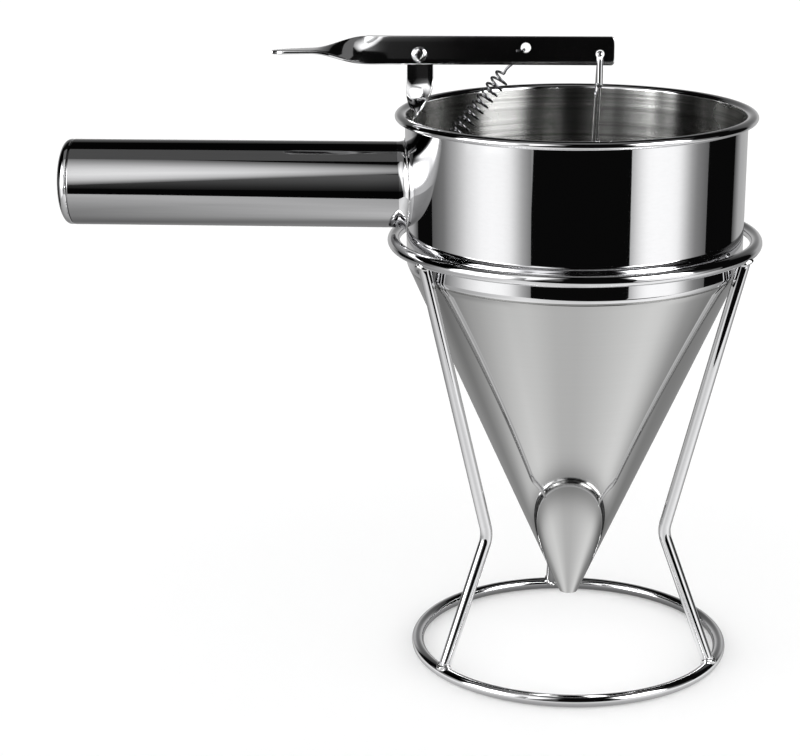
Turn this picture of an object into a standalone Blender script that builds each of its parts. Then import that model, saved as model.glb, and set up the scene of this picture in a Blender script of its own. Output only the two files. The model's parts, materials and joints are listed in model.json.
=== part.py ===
"""Pancake batter dispenser: a steel cup and cone with a lever-worked valve, hung in a wire stand.

Metres, +Z up, with the table at z = 0. The funnel's axis is upright, the handle points to -X and the
lever lies in the plane y = 0. The world origin is on the table, under the middle of the whole object.
Sizes below are real sizes. A reach is measured from the funnel's axis, a rise or a drop upwards or
downwards from the piece that its comment names.
"""
import math

import bmesh
import bpy
from mathutils import Matrix, Vector

# Clearances
seam_gap = 0.0003            # left between pieces that are welded, screwed or seated on each other
running_gap = 0.0003         # left between pieces that turn or slide on each other
cut_overrun = 0.004          # how far a cutter runs past the piece that it cuts

# Cup and cone, pressed from one gauge of sheet
sheet = 0.0008
cup_radius = 0.0673          # outside of the wall, just above the shoulder
cup_flare = 0.0005           # how much larger the wall is at the rim
cup_height = 0.0593          # from the corner of wall and cone to the middle of the rim's roll
shoulder_radius = 0.0040     # outside radius of the rounded corner
shoulder_lip = 0.0012        # straight edge of the cup below the corner, which the cone butts against
rim_overhang = 0.0040        # how far the roll stands out past the wall
rim_thickness = 0.0034       # height of the roll
rim_curl_degrees = 292
cone_height = 0.1425         # from that corner to the outlet's edge
outlet_radius = 0.00375      # outside of the cone at the outlet
outlet_height = 0.0245       # outlet's edge above the table

# Wire stand
wire_radius = 0.0025
ring_gap = 0.0027            # between the cup's wall and the inside of the support ring
base_ring_radius = 0.0635    # to the middle of the wire
leg_lean_degrees = 14.6      # upper part of a leg, from upright
knee_height = 0.0575
knee_bend_radius = 0.012
leg_names = ("back", "left", "right")
first_leg_degrees = 97       # the back leg, counted from +X

# Handle tube with its pressed end cap
handle_radius = 0.0173
handle_wall = 0.0008
handle_rise = 0.0305         # the tube's axis above the corner of wall and cone
handle_reach = 0.2083        # to the end of the cap
cap_dome = 0.0057            # from the seam to the end of the cap
cap_roundness = 0.75         # 1 is an elliptic dome, less gives a flatter face and a fuller edge
cap_skirt = 0.0060           # part of the cap that plugs into the tube

# Lever, a flat bar stood on edge and twisted flat at the thumb end
lever_thickness = 0.0015
lever_width = 0.0112
lever_rise = 0.0252          # the bar's middle above the middle of the rim's roll
lever_nose = 0.0055          # bar past the middle of the rod's hole
lever_corner = 0.0010        # corner cut of the bar's square end
twist_offset = 0.0120        # from the pivot to where the twist starts
twist_length = 0.0310
tab_length = 0.0156          # flat thumb tab after the twist, round end included
lever_travel_degrees = 18

# Pivot screw with its washer and nut, along y from the front to the back
pivot_inset = 0.0050         # from the inside of the wall to the screw's axis
pivot_drop = 0.0016          # the screw's axis below the bar's middle
screw_radius = 0.0015
screw_head_radius = 0.0030
screw_head_height = 0.0020
screw_recess_width = 0.0008
screw_recess_length = 0.0034
screw_recess_depth = 0.0011
washer_radius = 0.0034
washer_thickness = 0.0008
nut_across_flats = 0.0055
nut_thickness = 0.0022
screw_tail = 0.0008          # thread that shows behind the nut

# Pivot bracket, a strap twisted through a quarter turn
strap_width = 0.0105
strap_thickness = 0.0012
strap_twist_drop = 0.0095    # from the screw's axis to where the strap starts to twist
strap_twist_length = 0.0150
strap_lean = 0.0016          # how far it leans towards the wall in the twist
strap_twist_power = 1.5      # the twist starts slowly and is quickest at the wall
foot_drop = 0.0075           # from the middle of the rim's roll down to where the foot meets the wall
foot_length = 0.0120         # foot that is spot welded to the wall
strap_bend_radius = 0.0030
ear_length = 0.0118          # end of the strap that is turned inwards for the spring

# Valve rod and plug
rod_radius = 0.00125
rod_offset = 0.0091          # the rod's hole in the lever, right of the funnel's axis
rod_hole_drop = 0.0012       # the same hole below the bar's middle
rod_hook_end = 0.0128        # turned-down end of the hook in front of the lever
rod_plumb = 0.0150           # bottom of the rod that runs on the funnel's axis
plug_lift = 0.0012           # the plug's nose above the outlet's edge
plug_height = 0.0075         # its tapered part
plug_collar_radius = 0.0030
plug_collar_height = 0.0040
plug_bore_depth = 0.0070

# Return spring
spring_wire = 0.0008
spring_outer_radius = 0.00345
spring_pitch = 0.0029
spring_arm = 0.0420          # from the pivot to the spring's hole in the lever
spring_hole_rise = 0.0012    # that hole above the bar's middle
spring_hole_radius = 0.0020
spring_hook = 0.0140         # from the middle of that hole to the first curl
spring_seat = 0.0012         # how far the pulled wire lies from that middle, towards the coil
spring_tail = 0.0030         # end of the wire in front of the lever
anchor_hole_radius = 0.0016
anchor_inset = 0.0030        # the anchor's hole from the end of the ear
anchor_hook = 0.0062         # from the middle of that hole to the last curl

# How finely round shapes are cut
wire_sides = 10
ring_steps = 60
cup_steps = 60
cone_steps = 48
handle_steps = 40
small_steps = 24
curl_points = 11
shoulder_points = 4
dome_points = 7
bend_points = 5
twist_points = 10
curl_steps = 9               # points in one turn of the spring
hook_points = 5
crease_degrees = 35          # faces that meet at more than this keep a sharp edge
merge_gap = 0.0000008        # corners closer than this are one corner
gap_samples = 4              # points tested on each stretch of the spring's wire

# What follows from those sizes: the cup and the cone
half_angle = math.atan2(cup_radius - outlet_radius, cone_height)
corner_height = outlet_height + cone_height
shoulder_centre_radius = cup_radius - shoulder_radius
shoulder_centre_height = corner_height + shoulder_radius * math.tan(half_angle / 2)
rim_height = corner_height + cup_height
wall_inside_top = cup_radius + cup_flare - sheet

# The funnel's shoulder sits on the leaning legs just under the support ring, and sets the stand's height
leg_lean = math.radians(leg_lean_degrees)
ring_radius = cup_radius + ring_gap + wire_radius
seat_spacing = shoulder_radius + wire_radius + seam_gap
ring_height = shoulder_centre_height + (
    (ring_radius - shoulder_centre_radius) * math.cos(leg_lean) - seat_spacing) / math.sin(leg_lean)
base_ring_height = wire_radius * math.cos(math.pi / wire_sides)
knee_radius = ring_radius - (ring_height - knee_height) * math.tan(leg_lean)

# The handle, the lever and its pivot
handle_height = corner_height + handle_rise
seam_reach = handle_reach - cap_dome
lever_height = rim_height + lever_rise
pivot = Vector((pivot_inset - wall_inside_top, 0, lever_height - pivot_drop))
rod_hook_point = Vector((rod_offset, 0, lever_height - rod_hole_drop))
spring_top = Vector((pivot.x + spring_arm, 0, lever_height + spring_hole_rise))
lever_face = lever_thickness / 2
washer_front = lever_face + running_gap
strap_front = washer_front + washer_thickness + seam_gap
strap_y = strap_front + strap_thickness / 2
nut_front = strap_front + strap_thickness + seam_gap
foot_reach = math.sqrt((cup_radius - sheet) ** 2 - (strap_width / 2) ** 2) - seam_gap - strap_thickness / 2
foot_top = rim_height - foot_drop
ear_height = foot_top - foot_length
anchor = Vector((ear_length - anchor_inset - foot_reach, 0, ear_height))

# The whole object is centred on the world origin
axis_offset = (handle_reach - ring_radius - wire_radius) / 2
rest_places = {"stand": Vector((0, 0, 0)), "funnel": Vector((0, 0, corner_height)),
               "lever": pivot, "rod": rod_hook_point}


def clear_scene():
    for old in list(bpy.data.objects):
        bpy.data.objects.remove(old, do_unlink=True)


def make_material(name, colour, roughness, metallic=1.0):
    material = bpy.data.materials.new(name)
    material.use_nodes = True
    shader = material.node_tree.nodes["Principled BSDF"]
    shader.inputs["Base Color"].default_value = (*colour, 1.0)
    shader.inputs["Roughness"].default_value = roughness
    shader.inputs["Metallic"].default_value = metallic
    return material


def make_empties():
    """One empty for each moving body, on its joint, under one that centres the whole object."""
    empties = {}
    centre = bpy.data.objects.new("part_centre", None)
    centre.location.x = axis_offset
    bpy.context.collection.objects.link(centre)
    parents = {"stand": None, "funnel": "stand", "lever": "funnel", "rod": "lever"}
    for body, parent in parents.items():
        empty = bpy.data.objects.new(body + "_joint", None)
        empty.parent = empties[parent] if parent else centre
        empty.location = rest_places[body] - (rest_places[parent] if parent else Vector())
        bpy.context.collection.objects.link(empty)
        empties[body] = empty
    return empties


def add_object(name, data, body, material=None):
    """Put data that was made around the funnel's axis under a body's empty, in the same place."""
    data.transform(Matrix.Translation(-rest_places[body]))
    thing = bpy.data.objects.new(name, data)
    thing.parent = empties[body]
    bpy.context.collection.objects.link(thing)
    if material:
        data.materials.append(material)
    return thing


def hide_cutter(thing):
    thing.hide_render = True
    thing.display_type = "WIRE"
    return thing


def cut(target, cutter):
    modifier = target.modifiers.new("cut by " + cutter.name, "BOOLEAN")
    modifier.operation = "DIFFERENCE"
    modifier.object = cutter


def finish_mesh(name, mesh_data):
    """Turn a bmesh into a smooth-shaded mesh whose faces point outwards."""
    bmesh.ops.recalc_face_normals(mesh_data, faces=mesh_data.faces)
    mesh = bpy.data.meshes.new(name)
    mesh_data.to_mesh(mesh)
    mesh_data.free()
    mesh.shade_smooth()
    mesh.set_sharp_from_angle(angle=math.radians(crease_degrees))
    return mesh


def turned(name, profile, steps, centre=(0, 0, 0), axis=(0, 0, 1), closed=True):
    """Spin a profile of (radius, height) points about an axis through centre.

    A closed profile goes round a ring's section. An open one starts and ends on the axis.
    """
    work = bmesh.new()
    points = [work.verts.new((radius, 0, height)) for radius, height in profile]
    edges = [work.edges.new(pair) for pair in zip(points, points[1:])]
    if closed:
        edges.append(work.edges.new((points[-1], points[0])))
    bmesh.ops.spin(work, geom=points + edges, cent=(0, 0, 0), axis=(0, 0, 1), dvec=(0, 0, 0),
                   angle=math.tau, steps=steps, use_duplicate=False)
    bmesh.ops.remove_doubles(work, verts=work.verts, dist=merge_gap)
    turn = Vector((0, 0, 1)).rotation_difference(Vector(axis)).to_matrix().to_4x4()
    work.transform(Matrix.Translation(centre) @ turn)
    return finish_mesh(name, work)


def round_section(centre_radius, centre_height, radius, sides):
    """A wire's section as a polygon that lies on one of its sides."""
    angles = [math.tau * (side + 0.5) / sides - math.pi / 2 for side in range(sides)]
    return [(centre_radius + radius * math.cos(a), centre_height + radius * math.sin(a)) for a in angles]


def cylinder(name, centre, axis, radius, length, steps=small_steps):
    profile = [(0, -length / 2), (radius, -length / 2), (radius, length / 2), (0, length / 2)]
    return turned(name, profile, steps, centre, axis, closed=False)


def tube_along(name, points, radius, resolution):
    """A solid round bar along points: 4 + 2 * resolution sides, with capped ends."""
    curve = bpy.data.curves.new(name, "CURVE")
    curve.dimensions = "3D"
    curve.bevel_depth = radius
    curve.bevel_resolution = resolution
    curve.use_fill_caps = True
    line = curve.splines.new("POLY")
    line.points.add(len(points) - 1)
    for place, point in zip(line.points, points):
        place.co = (*point, 1)
    line.use_smooth = True
    return curve


def solid_bar(name, points, radius, resolution):
    """The same bar as a mesh, so that other pieces can trim it."""
    draft = bpy.data.objects.new(name + "_draft", tube_along(name, points, radius, resolution))
    mesh = bpy.data.meshes.new_from_object(draft)
    bpy.data.objects.remove(draft)
    work = bmesh.new()
    work.from_mesh(mesh)
    bmesh.ops.remove_doubles(work, verts=work.verts, dist=merge_gap)
    return finish_mesh(name, work)


def rounded_corner(before, corner, after, radius, count):
    """Points of the arc that rounds a corner between two straight runs."""
    first = (before - corner).normalized()
    second = (after - corner).normalized()
    half = first.angle(second) / 2
    tangent = radius / math.tan(half)
    centre = corner + (first + second).normalized() * radius / math.sin(half)
    start = corner + first * tangent - centre
    turn = corner + second * tangent - centre
    sweep = start.angle(turn)
    side = (turn - start * math.cos(sweep)) / math.sin(sweep)
    angles = [sweep * step / (count - 1) for step in range(count)]
    return [centre + start * math.cos(a) + side * math.sin(a) for a in angles]


def smooth_share(share):
    """Ease a share of 0 to 1 in and out."""
    share = min(max(share, 0), 1)
    return share * share * (3 - 2 * share)


def flat_bar(name, stations, thickness):
    """Sweep a rectangle along stations of (point, twist, width).

    At a twist of nothing the width lies in the plane y = 0, at a quarter turn it lies along y.
    """
    work = bmesh.new()
    rows = []
    for index, (point, twist, width) in enumerate(stations):
        after = stations[min(index + 1, len(stations) - 1)][0]
        before = stations[max(index - 1, 0)][0]
        along = (after - before).normalized()
        across = (Vector((0, 1, 0)) - along * along.y).normalized()
        edge = across.cross(along) * math.cos(twist) + across * math.sin(twist)
        face = along.cross(edge)
        half_width = edge * width / 2
        half_depth = face * thickness / 2
        corners = (half_width + half_depth, half_width - half_depth,
                   -half_width - half_depth, half_depth - half_width)
        rows.append([work.verts.new(point + corner) for corner in corners])
    for row, next_row in zip(rows, rows[1:]):
        for side in range(4):
            other = (side + 1) % 4
            work.faces.new((row[side], row[other], next_row[other], next_row[side]))
    work.faces.new(rows[0])
    work.faces.new(rows[-1])
    return finish_mesh(name, work)


def round_end(length, half_width, count):
    """Distances from the end and widths that round off the end of a bar, from the end inwards."""
    angles = [math.pi / 2 * (step + 0.5) / count for step in range(count)]
    return [(length * (1 - math.cos(a)), 2 * half_width * math.sin(a)) for a in angles]


def sheet_section(path, thickness):
    """Closed outline of a sheet that follows a path of (radius, height) points."""
    outside = []
    inside = []
    for index, (radius, height) in enumerate(path):
        after = path[min(index + 1, len(path) - 1)]
        before = path[max(index - 1, 0)]
        run = Vector((after[0] - before[0], after[1] - before[1])).normalized()
        step = Vector((run.y, -run.x)) * thickness / 2
        outside.append((radius + step.x, height + step.y))
        inside.append((radius - step.x, height - step.y))
    return outside + inside[::-1]


def make_stand(steel):
    ring_section = round_section(ring_radius, ring_height, wire_radius, wire_sides)
    base_section = round_section(base_ring_radius, base_ring_height, wire_radius, wire_sides)
    add_object("support_ring", turned("support_ring", ring_section, ring_steps), "stand", steel)
    add_object("base_ring", turned("base_ring", base_section, ring_steps), "stand", steel)

    # A leg runs from the middle of one ring's wire to the other's, and both rings trim it to a saddle
    saddles = []
    for name, radius, height in (("support", ring_radius, ring_height),
                                 ("base", base_ring_radius, base_ring_height)):
        section = round_section(radius, height, wire_radius + seam_gap, wire_sides)
        saddle = add_object(name + "_saddle_cutter", turned(name, section, ring_steps), "stand")
        saddles.append(hide_cutter(saddle))
    top = Vector((ring_radius, 0, ring_height))
    knee = Vector((knee_radius, 0, knee_height))
    foot = Vector((base_ring_radius, 0, base_ring_height))
    route = [top] + rounded_corner(top, knee, foot, knee_bend_radius, bend_points) + [foot]
    for index, name in enumerate(leg_names):
        turn = math.radians(first_leg_degrees) + math.tau * index / len(leg_names)
        leg = add_object("leg_" + name, solid_bar("leg_" + name, route, wire_radius, 3), "stand", steel)
        leg.rotation_euler.z = turn
        for saddle in saddles:
            cut(leg, saddle)


def cup_path():
    """Middle of the cup's sheet: lip, shoulder, wall and the roll of the rim."""
    shoulder = shoulder_radius - sheet / 2
    angles = [-half_angle * (1 - step / (shoulder_points - 1)) for step in range(shoulder_points)]
    path = [(shoulder_centre_radius + shoulder * math.cos(a), shoulder_centre_height + shoulder * math.sin(a))
            for a in angles]
    first = path[0]
    lip = (first[0] - shoulder_lip * math.sin(half_angle), first[1] - shoulder_lip * math.cos(half_angle))
    half_across = rim_overhang / 2
    half_tall = (rim_thickness - sheet) / 2
    roll_centre = cup_radius + cup_flare - sheet / 2 + half_across
    sweep = math.radians(rim_curl_degrees)
    turns = [math.pi - sweep * step / (curl_points - 1) for step in range(curl_points)]
    roll = [(roll_centre + half_across * math.cos(a), rim_height + half_tall * math.sin(a)) for a in turns]
    return [lip] + path + roll


def make_cup_and_cone(polished, satin):
    add_object("cup", turned("cup", sheet_section(cup_path(), sheet), cup_steps), "funnel", polished)

    # The cone's outside runs on flush from the lip, a seam's gap below it
    down = Vector((-math.sin(half_angle), -math.cos(half_angle)))
    outwards = Vector((math.cos(half_angle), -math.sin(half_angle)))
    tangent_point = Vector((shoulder_centre_radius, shoulder_centre_height)) + outwards * shoulder_radius
    top_outside = tangent_point + down * (shoulder_lip + seam_gap)
    top_inside = top_outside - outwards * sheet
    outlet_inside = outlet_radius - sheet / math.cos(half_angle)
    profile = [tuple(top_outside), (outlet_radius, outlet_height), (outlet_inside, outlet_height),
               tuple(top_inside)]
    add_object("cone", turned("cone", profile, cone_steps), "funnel", satin)


def make_handle(polished):
    """A tube welded to the cup's wall, which trims it, and a domed cap that plugs into its end."""
    middle = Vector((0, 0, handle_height))
    outwards = (-1, 0, 0)
    inside = handle_radius - handle_wall
    tube_start = cup_radius - sheet - cut_overrun
    tube_profile = [(handle_radius, tube_start), (handle_radius, seam_reach), (inside, seam_reach),
                    (inside, tube_start)]
    tube_mesh = turned("handle_tube", tube_profile, handle_steps, middle, outwards)
    tube = add_object("handle_tube", tube_mesh, "funnel", polished)
    wall_top = cup_radius + cup_flare + seam_gap
    wall_foot = cup_radius + seam_gap
    wall_profile = [(0, shoulder_centre_height), (wall_foot, shoulder_centre_height),
                    (wall_top, rim_height), (0, rim_height)]
    wall = turned("wall_cutter", wall_profile, cup_steps, closed=False)
    cut(tube, hide_cutter(add_object("wall_cutter", wall, "funnel")))

    angles = [math.pi / 2 * step / dome_points for step in range(dome_points + 1)]
    dome_start = seam_reach + seam_gap
    dome_height = handle_reach - dome_start
    fullness = [(math.sin(a) ** cap_roundness, max(math.cos(a), 0) ** cap_roundness) for a in angles]
    dome = [(handle_radius * out, dome_start + dome_height * along) for out, along in fullness]
    skirt_outside = inside - seam_gap
    skirt_inside = skirt_outside - handle_wall
    skirt_end = seam_reach - cap_skirt
    hollow_height = dome_height - handle_wall
    hollow = [(skirt_inside * out, dome_start + hollow_height * along) for out, along in fullness]
    cap_profile = dome + [(skirt_outside, dome_start), (skirt_outside, skirt_end), (skirt_inside, skirt_end)]
    cap_profile += hollow[::-1]
    cap = turned("handle_end_cap", cap_profile, handle_steps, middle, outwards, closed=False)
    add_object("handle_end_cap", cap, "funnel", polished)


def make_lever(polished):
    nose = rod_hook_point.x + lever_nose
    twist_start = pivot.x - twist_offset
    twist_end = twist_start - twist_length
    tab_end = twist_end - tab_length
    quarter = math.pi / 2
    stations = [(nose, 0, lever_width - 2 * lever_corner), (nose - lever_corner, 0, lever_width),
                (twist_start, 0, lever_width)]
    for step in range(1, twist_points + 1):
        share = step / twist_points
        stations.append((twist_start - twist_length * share, quarter * smooth_share(share), lever_width))
    half_width = lever_width / 2
    tip = round_end(half_width, half_width, bend_points)
    stations += [(tab_end + distance, quarter, width) for distance, width in reversed(tip)]
    stations = [(Vector((x, 0, lever_height)), twist, width) for x, twist, width in stations]
    lever = add_object("lever", flat_bar("lever", stations, lever_thickness), "lever", polished)
    holes = (("pivot", pivot, screw_radius + running_gap),
             ("rod", rod_hook_point, rod_radius + 1.5 * running_gap),
             ("spring", spring_top, spring_hole_radius))
    for name, place, radius in holes:
        length = lever_thickness + 2 * cut_overrun
        drill = cylinder(name + "_hole_cutter", place, (0, 1, 0), radius, length)
        cut(lever, hide_cutter(add_object(name + "_hole_cutter", drill, "lever")))


def strap_stations():
    """The bracket from its eye down to the foot on the wall and the ear for the spring."""
    eye = strap_width / 2
    top = Vector((pivot.x, strap_y, pivot.z))
    twist_start = top - Vector((0, 0, strap_twist_drop))
    twist_end = Vector((pivot.x - strap_lean, 0, twist_start.z - strap_twist_length))
    foot = Vector((-foot_reach, 0, foot_top))
    ear_corner = Vector((-foot_reach, 0, ear_height))
    ear_end = ear_corner + Vector((ear_length, 0, 0))
    stations = [(top + Vector((0, 0, eye - distance)), 0, width)
                for distance, width in round_end(eye, eye, bend_points)]
    stations.append((top, 0, strap_width))
    for step in range(twist_points + 1):
        share = step / twist_points
        eased = smooth_share(share)
        place = twist_start.lerp(twist_end, share)
        place.x = twist_start.x + (twist_end.x - twist_start.x) * eased
        place.y = twist_start.y * (1 - eased)
        stations.append((place, math.pi / 2 * share ** strap_twist_power, strap_width))
    bends = rounded_corner(twist_end, foot, ear_corner, strap_bend_radius, bend_points)
    bends += rounded_corner(foot, ear_corner, ear_end, strap_bend_radius, bend_points)
    stations += [(place, math.pi / 2, strap_width) for place in bends + [ear_end]]
    return stations


def make_bracket(polished, plated):
    bracket = add_object("pivot_bracket", flat_bar("pivot_bracket", strap_stations(), strap_thickness),
                         "funnel", polished)
    through = strap_thickness + 2 * cut_overrun
    eye_place = (pivot.x, strap_y, pivot.z)
    eye_drill = cylinder("eye_cutter", eye_place, (0, 1, 0), screw_radius + seam_gap, strap_thickness * 2)
    cut(bracket, hide_cutter(add_object("eye_cutter", eye_drill, "funnel")))
    anchor_drill = cylinder("anchor_cutter", anchor, (0, 0, 1), anchor_hole_radius, through)
    cut(bracket, hide_cutter(add_object("anchor_cutter", anchor_drill, "funnel")))

    # Screw: a domed head in front of the lever, then its shank, turned about y
    head_back = -lever_face - running_gap
    shank_end = nut_front + nut_thickness + screw_tail
    head_angles = [math.pi / 2 * step / bend_points for step in range(bend_points)]
    skirt = screw_head_height / 3
    crown = screw_head_height - skirt
    head = [(screw_head_radius * math.sin(a), head_back - skirt - crown * math.cos(a)) for a in head_angles]
    screw_profile = head + [(screw_head_radius, head_back - skirt), (screw_head_radius, head_back),
                            (screw_radius, head_back), (screw_radius, shank_end), (0, shank_end)]
    along_y = (0, 1, 0)
    screw_mesh = turned("pivot_screw", screw_profile, small_steps, pivot, along_y, closed=False)
    screw = add_object("pivot_screw", screw_mesh, "funnel", plated)
    head_front = head_back - screw_head_height
    recess_depth = 2 * screw_recess_depth
    for name, size in (("recess_level", (screw_recess_length, recess_depth, screw_recess_width)),
                       ("recess_upright", (screw_recess_width, recess_depth, screw_recess_length))):
        work = bmesh.new()
        bmesh.ops.create_cube(work, size=1)
        work.transform(Matrix.Translation(pivot + Vector((0, head_front, 0))) @ Matrix.Diagonal((*size, 1)))
        cut(screw, hide_cutter(add_object(name + "_cutter", finish_mesh(name, work), "funnel")))

    bore = screw_radius + seam_gap
    washer_profile = [(bore, washer_front), (washer_radius, washer_front),
                      (washer_radius, washer_front + washer_thickness),
                      (bore, washer_front + washer_thickness)]
    washer = turned("pivot_washer", washer_profile, small_steps, pivot, along_y)
    add_object("pivot_washer", washer, "funnel", plated)
    nut_corner = nut_across_flats / 2 / math.cos(math.pi / 6)
    nut_profile = [(0, nut_front), (nut_corner, nut_front), (nut_corner, nut_front + nut_thickness),
                   (0, nut_front + nut_thickness)]
    nut_mesh = turned("pivot_nut", nut_profile, 6, pivot, along_y, closed=False)
    nut = add_object("pivot_nut", nut_mesh, "funnel", plated)
    nut_middle = pivot + Vector((0, nut_front + nut_thickness / 2, 0))
    nut_drill = cylinder("nut_cutter", nut_middle, along_y, bore, nut_thickness * 2)
    cut(nut, hide_cutter(add_object("nut_cutter", nut_drill, "funnel")))


def inside_radius(height):
    """Inside of the cone at a height above the outlet's edge."""
    return outlet_radius - sheet / math.cos(half_angle) + height * math.tan(half_angle)


def make_valve(rod_steel, polished):
    """A plug that closes the cone above the outlet, and the rod that hooks it to the lever."""
    plug_inset = seam_gap / math.cos(half_angle)
    nose = outlet_height + plug_lift
    shelf = nose + plug_height
    collar_top = shelf + plug_collar_height
    bore_radius = rod_radius + seam_gap
    bore_floor = collar_top - plug_bore_depth
    nose_radius = inside_radius(plug_lift) - plug_inset
    shelf_radius = inside_radius(plug_lift + plug_height) - plug_inset
    plug_profile = [(0, nose), (nose_radius, nose), (shelf_radius, shelf), (plug_collar_radius, shelf),
                    (plug_collar_radius, collar_top), (bore_radius, collar_top), (bore_radius, bore_floor),
                    (0, bore_floor)]
    plug = turned("valve_plug", plug_profile, small_steps, closed=False)
    add_object("valve_plug", plug, "rod", polished)

    # The rod rises behind the lever, goes forward through its hole and ends hanging in front of it
    bend = lever_face + running_gap + rod_radius
    hook_turns = [math.pi * step / (2 * hook_points) for step in range(2 * hook_points + 1)]
    hook = [rod_hook_point + Vector((0, bend * math.cos(a), bend * (math.sin(a) - 1))) for a in hook_turns]
    hook_back = hook[0]
    hook_end = hook[-1] - Vector((0, 0, rod_hook_end - bend))
    foot = Vector((0, 0, bore_floor + seam_gap))
    plumb_top = Vector((0, 0, bore_floor + rod_plumb))
    lean = rounded_corner(foot, plumb_top, hook_back, rod_plumb / 2, hook_points)
    route = [foot] + lean + hook + [hook_end]
    add_object("valve_rod", tube_along("valve_rod", route, rod_radius, 2), "rod", rod_steel)


def arc_between(start, end, bulge, count):
    """Points of a shallow bow from start to end, pushed out by bulge at its middle, ends left out."""
    shares = [step / (count + 1) for step in range(1, count + 1)]
    return [start.lerp(end, share) + bulge * math.sin(math.pi * share) for share in shares]


def spring_route():
    """Tail and hook through the lever's hole, the coil, and the hook through the bracket's ear."""
    upwards = (spring_top - anchor).normalized()
    behind = Vector((0, 1, 0))
    side = behind.cross(upwards)
    coil_radius = spring_outer_radius - spring_wire / 2
    coil_top = spring_top - upwards * spring_hook
    coil_foot = anchor + upwards * anchor_hook
    coil_length = (coil_top - coil_foot).length
    turns = round(coil_length / spring_pitch)
    count = turns * curl_steps
    coil = []
    for step in range(count + 1):
        share = step / count
        angle = math.tau * turns * share
        ring = behind * math.cos(angle) - side * math.sin(angle)
        coil.append(coil_top.lerp(coil_foot, share) + ring * coil_radius)
    # The top hook stays behind the lever, steps through the hole and lies on the lever's front
    clear = lever_face + running_gap + spring_wire / 2
    back_step = behind * (clear + spring_wire / 2)
    seat = spring_top - upwards * spring_seat
    hole_back = seat + back_step
    hole_front = seat - back_step
    tail_end = hole_front - Vector((spring_tail, 0, spring_wire / 2))
    tail_start = hole_front.lerp(tail_end, 1 / hook_points)
    rise = arc_between(coil[0], hole_back, side * spring_wire, hook_points)
    top_hook = [tail_end, tail_start, seat - behind * lever_face, seat + behind * lever_face,
                hole_back - upwards * spring_wire]
    # The foot hook comes from behind to above the ear's hole and ends below it
    above = anchor + Vector((0, 0, strap_thickness / 2 + 2 * spring_wire))
    below = anchor - Vector((0, 0, strap_thickness / 2 + spring_wire))
    tail = below - Vector((2 * spring_wire, 0, spring_wire))
    drop = arc_between(coil[-1], above, behind * spring_wire, hook_points)
    return top_hook + rise[::-1] + coil + drop + [above, anchor, below, tail], turns


def least_gap(route, radius, window):
    """Smallest clear distance between stretches of a tube that are more than window points apart."""
    points = []
    for start, end in zip(route, route[1:]):
        points += [start.lerp(end, step / gap_samples) for step in range(gap_samples)]
    window *= gap_samples
    nearest = min((points[i] - points[j]).length
                  for i in range(len(points)) for j in range(i + window, len(points)))
    return nearest - 2 * radius


def make_spring(spring_steel):
    route, turns = spring_route()
    curve = tube_along("return_spring", route, spring_wire / 2, 1)
    add_object("return_spring", curve, "funnel", spring_steel)
    gap = least_gap(route, spring_wire / 2, curl_steps // 2)
    print("return_spring: %d curls, least gap to itself %.2f mm" % (turns, gap * 1000))


clear_scene()
empties = make_empties()
mirror_steel = make_material("mirror_steel", (0.80, 0.80, 0.81), 0.06)
satin_steel = make_material("satin_steel", (0.66, 0.66, 0.65), 0.22)
wire_steel = make_material("wire_steel", (0.78, 0.78, 0.79), 0.10)
dark_spring_steel = make_material("dark_spring_steel", (0.45, 0.45, 0.46), 0.25)
plated_steel = make_material("plated_steel", (0.75, 0.75, 0.76), 0.15)
make_stand(wire_steel)
make_cup_and_cone(mirror_steel, satin_steel)
make_handle(mirror_steel)
make_lever(mirror_steel)
make_bracket(mirror_steel, plated_steel)
make_valve(wire_steel, satin_steel)
make_spring(dark_spring_steel)

print("funnel axis at x = %.5f, corner %.5f, rim %.5f, support ring %.5f"
      % (axis_offset, corner_height, rim_height, ring_height))
for label, place in (("pivot", pivot), ("rod hook", rod_hook_point), ("spring top", spring_top),
                     ("spring anchor", anchor)):
    print("%s at %.5f %.5f %.5f" % (label, place.x + axis_offset, place.y, place.z))
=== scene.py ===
# %% [markdown]
# # A batter dispenser in polished steel
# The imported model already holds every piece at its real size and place, as plain faceted solids.
# Polished steel shows nothing but what it reflects, and a mirror made of flat facets gives itself
# away at once. So each piece is made again here as a smooth surface from a formula, in the same
# place, and then given its finish: mirror, satin, brushed, drawn wire or plated.
#
# The lesson goes from the frame and the camera to the helpers, the stand, the funnel, the handle,
# the lever with its spring and rod, and last the studio that the steel reflects.

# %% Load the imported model
import json
import math

import bmesh
import bpy
import numpy as np
from mathutils import Matrix, Vector


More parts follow.
